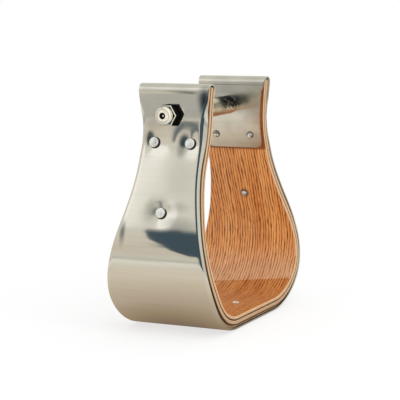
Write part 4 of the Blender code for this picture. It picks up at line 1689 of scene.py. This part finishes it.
def hexagon_highlight(tree):
    """Painted highlight on the nut's hexagon: a line along its front corner, and half as strong on the face
    elsewhere.
    """
    parts = axes(tree, own_place(tree))
    y, z = (math_node(tree, "SUBTRACT", parts[axis], place) for axis, place in zip("YZ", BOLT_CENTRE.yz))
    reach = math_node(tree, "ABSOLUTE", z)
    for lean in (-HEX_SINE, HEX_SINE):
        leaning = plus(tree, times(tree, y, lean), times(tree, z, HEX_COSINE))
        reach = most(tree, reach, math_node(tree, "ABSOLUTE", leaning))
    right = math_node(tree, "LESS_THAN", y, -FLAT / 2)
    line = times(tree, math_node(tree, "GREATER_THAN", reach, FLAT - BRIGHT_BAND), right)
    face = times(tree, math_node(tree, "GREATER_THAN", reach, COLLAR), FACE_HIGHLIGHT)
    face = times(tree, face, math_node(tree, "SUBTRACT", 1.0, right))
    return times(tree, math_node(tree, "LESS_THAN", parts["X"], HIGHLIGHT_END), most(tree, line, face))


def plated_finish():
    made, tree, shader = new_material("blackened_hanger")
    # Worn ends and painted highlights together.
    worn = most(tree, mark(tree, "worn"), hexagon_highlight(tree))
    cream = remap(tree, speckle(tree, CREAM_SCALE), *CREAM_MIX)
    bright = mix_colour(tree, cream, PLATED_BRIGHT, PLATED_CREAM)
    marks = speckle(tree, PLATED_SCALE)
    fill(tree, shader, Base_Color=mix_colour(tree, worn, PLATED_BLACK, bright),
         Metallic=times(tree, worn, PLATED_METAL), Roughness=remap(tree, marks, *SATIN_ROUGH),
         Specular_IOR_Level=0.0)
    bump(tree, shader, marks, PLATED_DEPTH)
    return made


finishes["plated_steel"] = plated_finish()
print("Hanger finish made")

# %% [markdown]
# ## Finish of the roller
#
# The roller is drawn tube: fine lines along it, a pale surface rubbed by the strap, and a ragged black patch
# on its upper far end. The pattern sits in the roller's own coordinates, so the patch turns with it.

# %% Roller finish
ROLLER_LIGHT = (0.93, 0.87, 0.73)
ROLLER_DULL = (0.76, 0.69, 0.54)
ROLLER_BLACK = (0.012, 0.011, 0.010)
DRAWN_SCALE = (25.0, 1400.0, 1400.0)
DRAWN_ROUGH = (0.3, 0.7, 0.22, 0.36)
DRAWN_DEPTH = 0.00001
RUBBED_SCALE = 70.0
RUBBED_MIX = (0.35, 0.65)
PATCH_FROM = (0.010, 0.022)
PATCH_ABOVE = (BOLT_CENTRE.z - 0.0020, BOLT_CENTRE.z + 0.0005)
RAGGED = 0.012
RAGGED_SCALE = 260.0
GAP_SCALE = 230.0
GAP_MIX = (0.50, 0.70, 1.0, 0.45)


def roller_black_patch(tree, parts):
    """Black patch on the upper far end, with ragged edges and gaps."""
    ragged = math_node(tree, "SUBTRACT", speckle(tree, RAGGED_SCALE, 3.0), NOISE_MIDDLE)
    ragged = times(tree, ragged, RAGGED)
    along = remap(tree, plus(tree, parts["X"], ragged), *PATCH_FROM)
    above = remap(tree, plus(tree, parts["Z"], ragged), *PATCH_ABOVE)
    return times(tree, times(tree, along, above), remap(tree, speckle(tree, GAP_SCALE, 1.0), *GAP_MIX))


def roller_finish():
    made, tree, shader = new_material("drawn_tube")
    where = own_place(tree)
    drawn = pattern(tree, add_node(tree, "Mapping", Vector=where, Scale=DRAWN_SCALE).outputs[0])
    rubbed = remap(tree, speckle(tree, RUBBED_SCALE), *RUBBED_MIX)
    colour = mix_colour(tree, rubbed, ROLLER_LIGHT, ROLLER_DULL)
    colour = mix_colour(tree, roller_black_patch(tree, axes(tree, where)), colour, ROLLER_BLACK)
    fill(tree, shader, Base_Color=colour, Metallic=1.0, Roughness=remap(tree, drawn, *DRAWN_ROUGH))
    bump(tree, shader, drawn, DRAWN_DEPTH)
    return made


finishes["roller_tube"] = roller_finish()
print("Roller finish made")

# %% [markdown]
# ## Finish of the lock ring
#
# The ring in the nut's collar is natural nylon: off-white, a little see-through and unevenly soiled.

# %% Nylon finish
NYLON_PALE = (0.80, 0.77, 0.68)
NYLON_WORN = (0.68, 0.64, 0.54)
NYLON_SCALE = 900.0
NYLON_MIX = (0.35, 0.65)
NYLON_BODY = {"Roughness": 0.45, "Subsurface_Weight": 0.1, "Subsurface_Radius": (0.001, 0.001, 0.001)}


def nylon_finish():
    made, tree, shader = new_material("lock_ring_nylon")
    colour = mix_colour(tree, remap(tree, speckle(tree, NYLON_SCALE), *NYLON_MIX), NYLON_PALE, NYLON_WORN)
    fill(tree, shader, Base_Color=colour, **NYLON_BODY)
    return made


finishes["nylon"] = nylon_finish()
print("Finishes:", ", ".join(finishes))

# %% [markdown]
# ## Hand over
#
# Each piece gets its finish, is shaded smooth except at its real edges, and takes the place of its node in
# the frame. Only the roller moves, so everything else rides on the stirrup's body.

# %% Finish and hand over
SLOTS = {row["node"]: row["material_slot"] for row in frame["record"]["subparts"]}
SMOOTH_ANGLE = math.radians(35)


def adopt(piece, node):
    """Hands a finished piece to the frame in place of its node."""
    select_none()
    piece.select_set(True)
    bpy.context.view_layer.objects.active = piece
    bpy.ops.object.shade_smooth_by_angle(angle=SMOOTH_ANGLE)
    piece.data.materials.clear()
    piece.data.materials.append(finishes[SLOTS[node]])
    piece.name = "seen_" + node
    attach(piece, "roller" if node == "strap_roller" else "stirrup")
    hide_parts(node)


for node, piece in pieces.items():
    adopt(piece, node)
print(len(pieces), "pieces handed over")

# %% [markdown]
# ## End
#
# Last, the script says that it has finished.

# %% End
print("Scene finished")
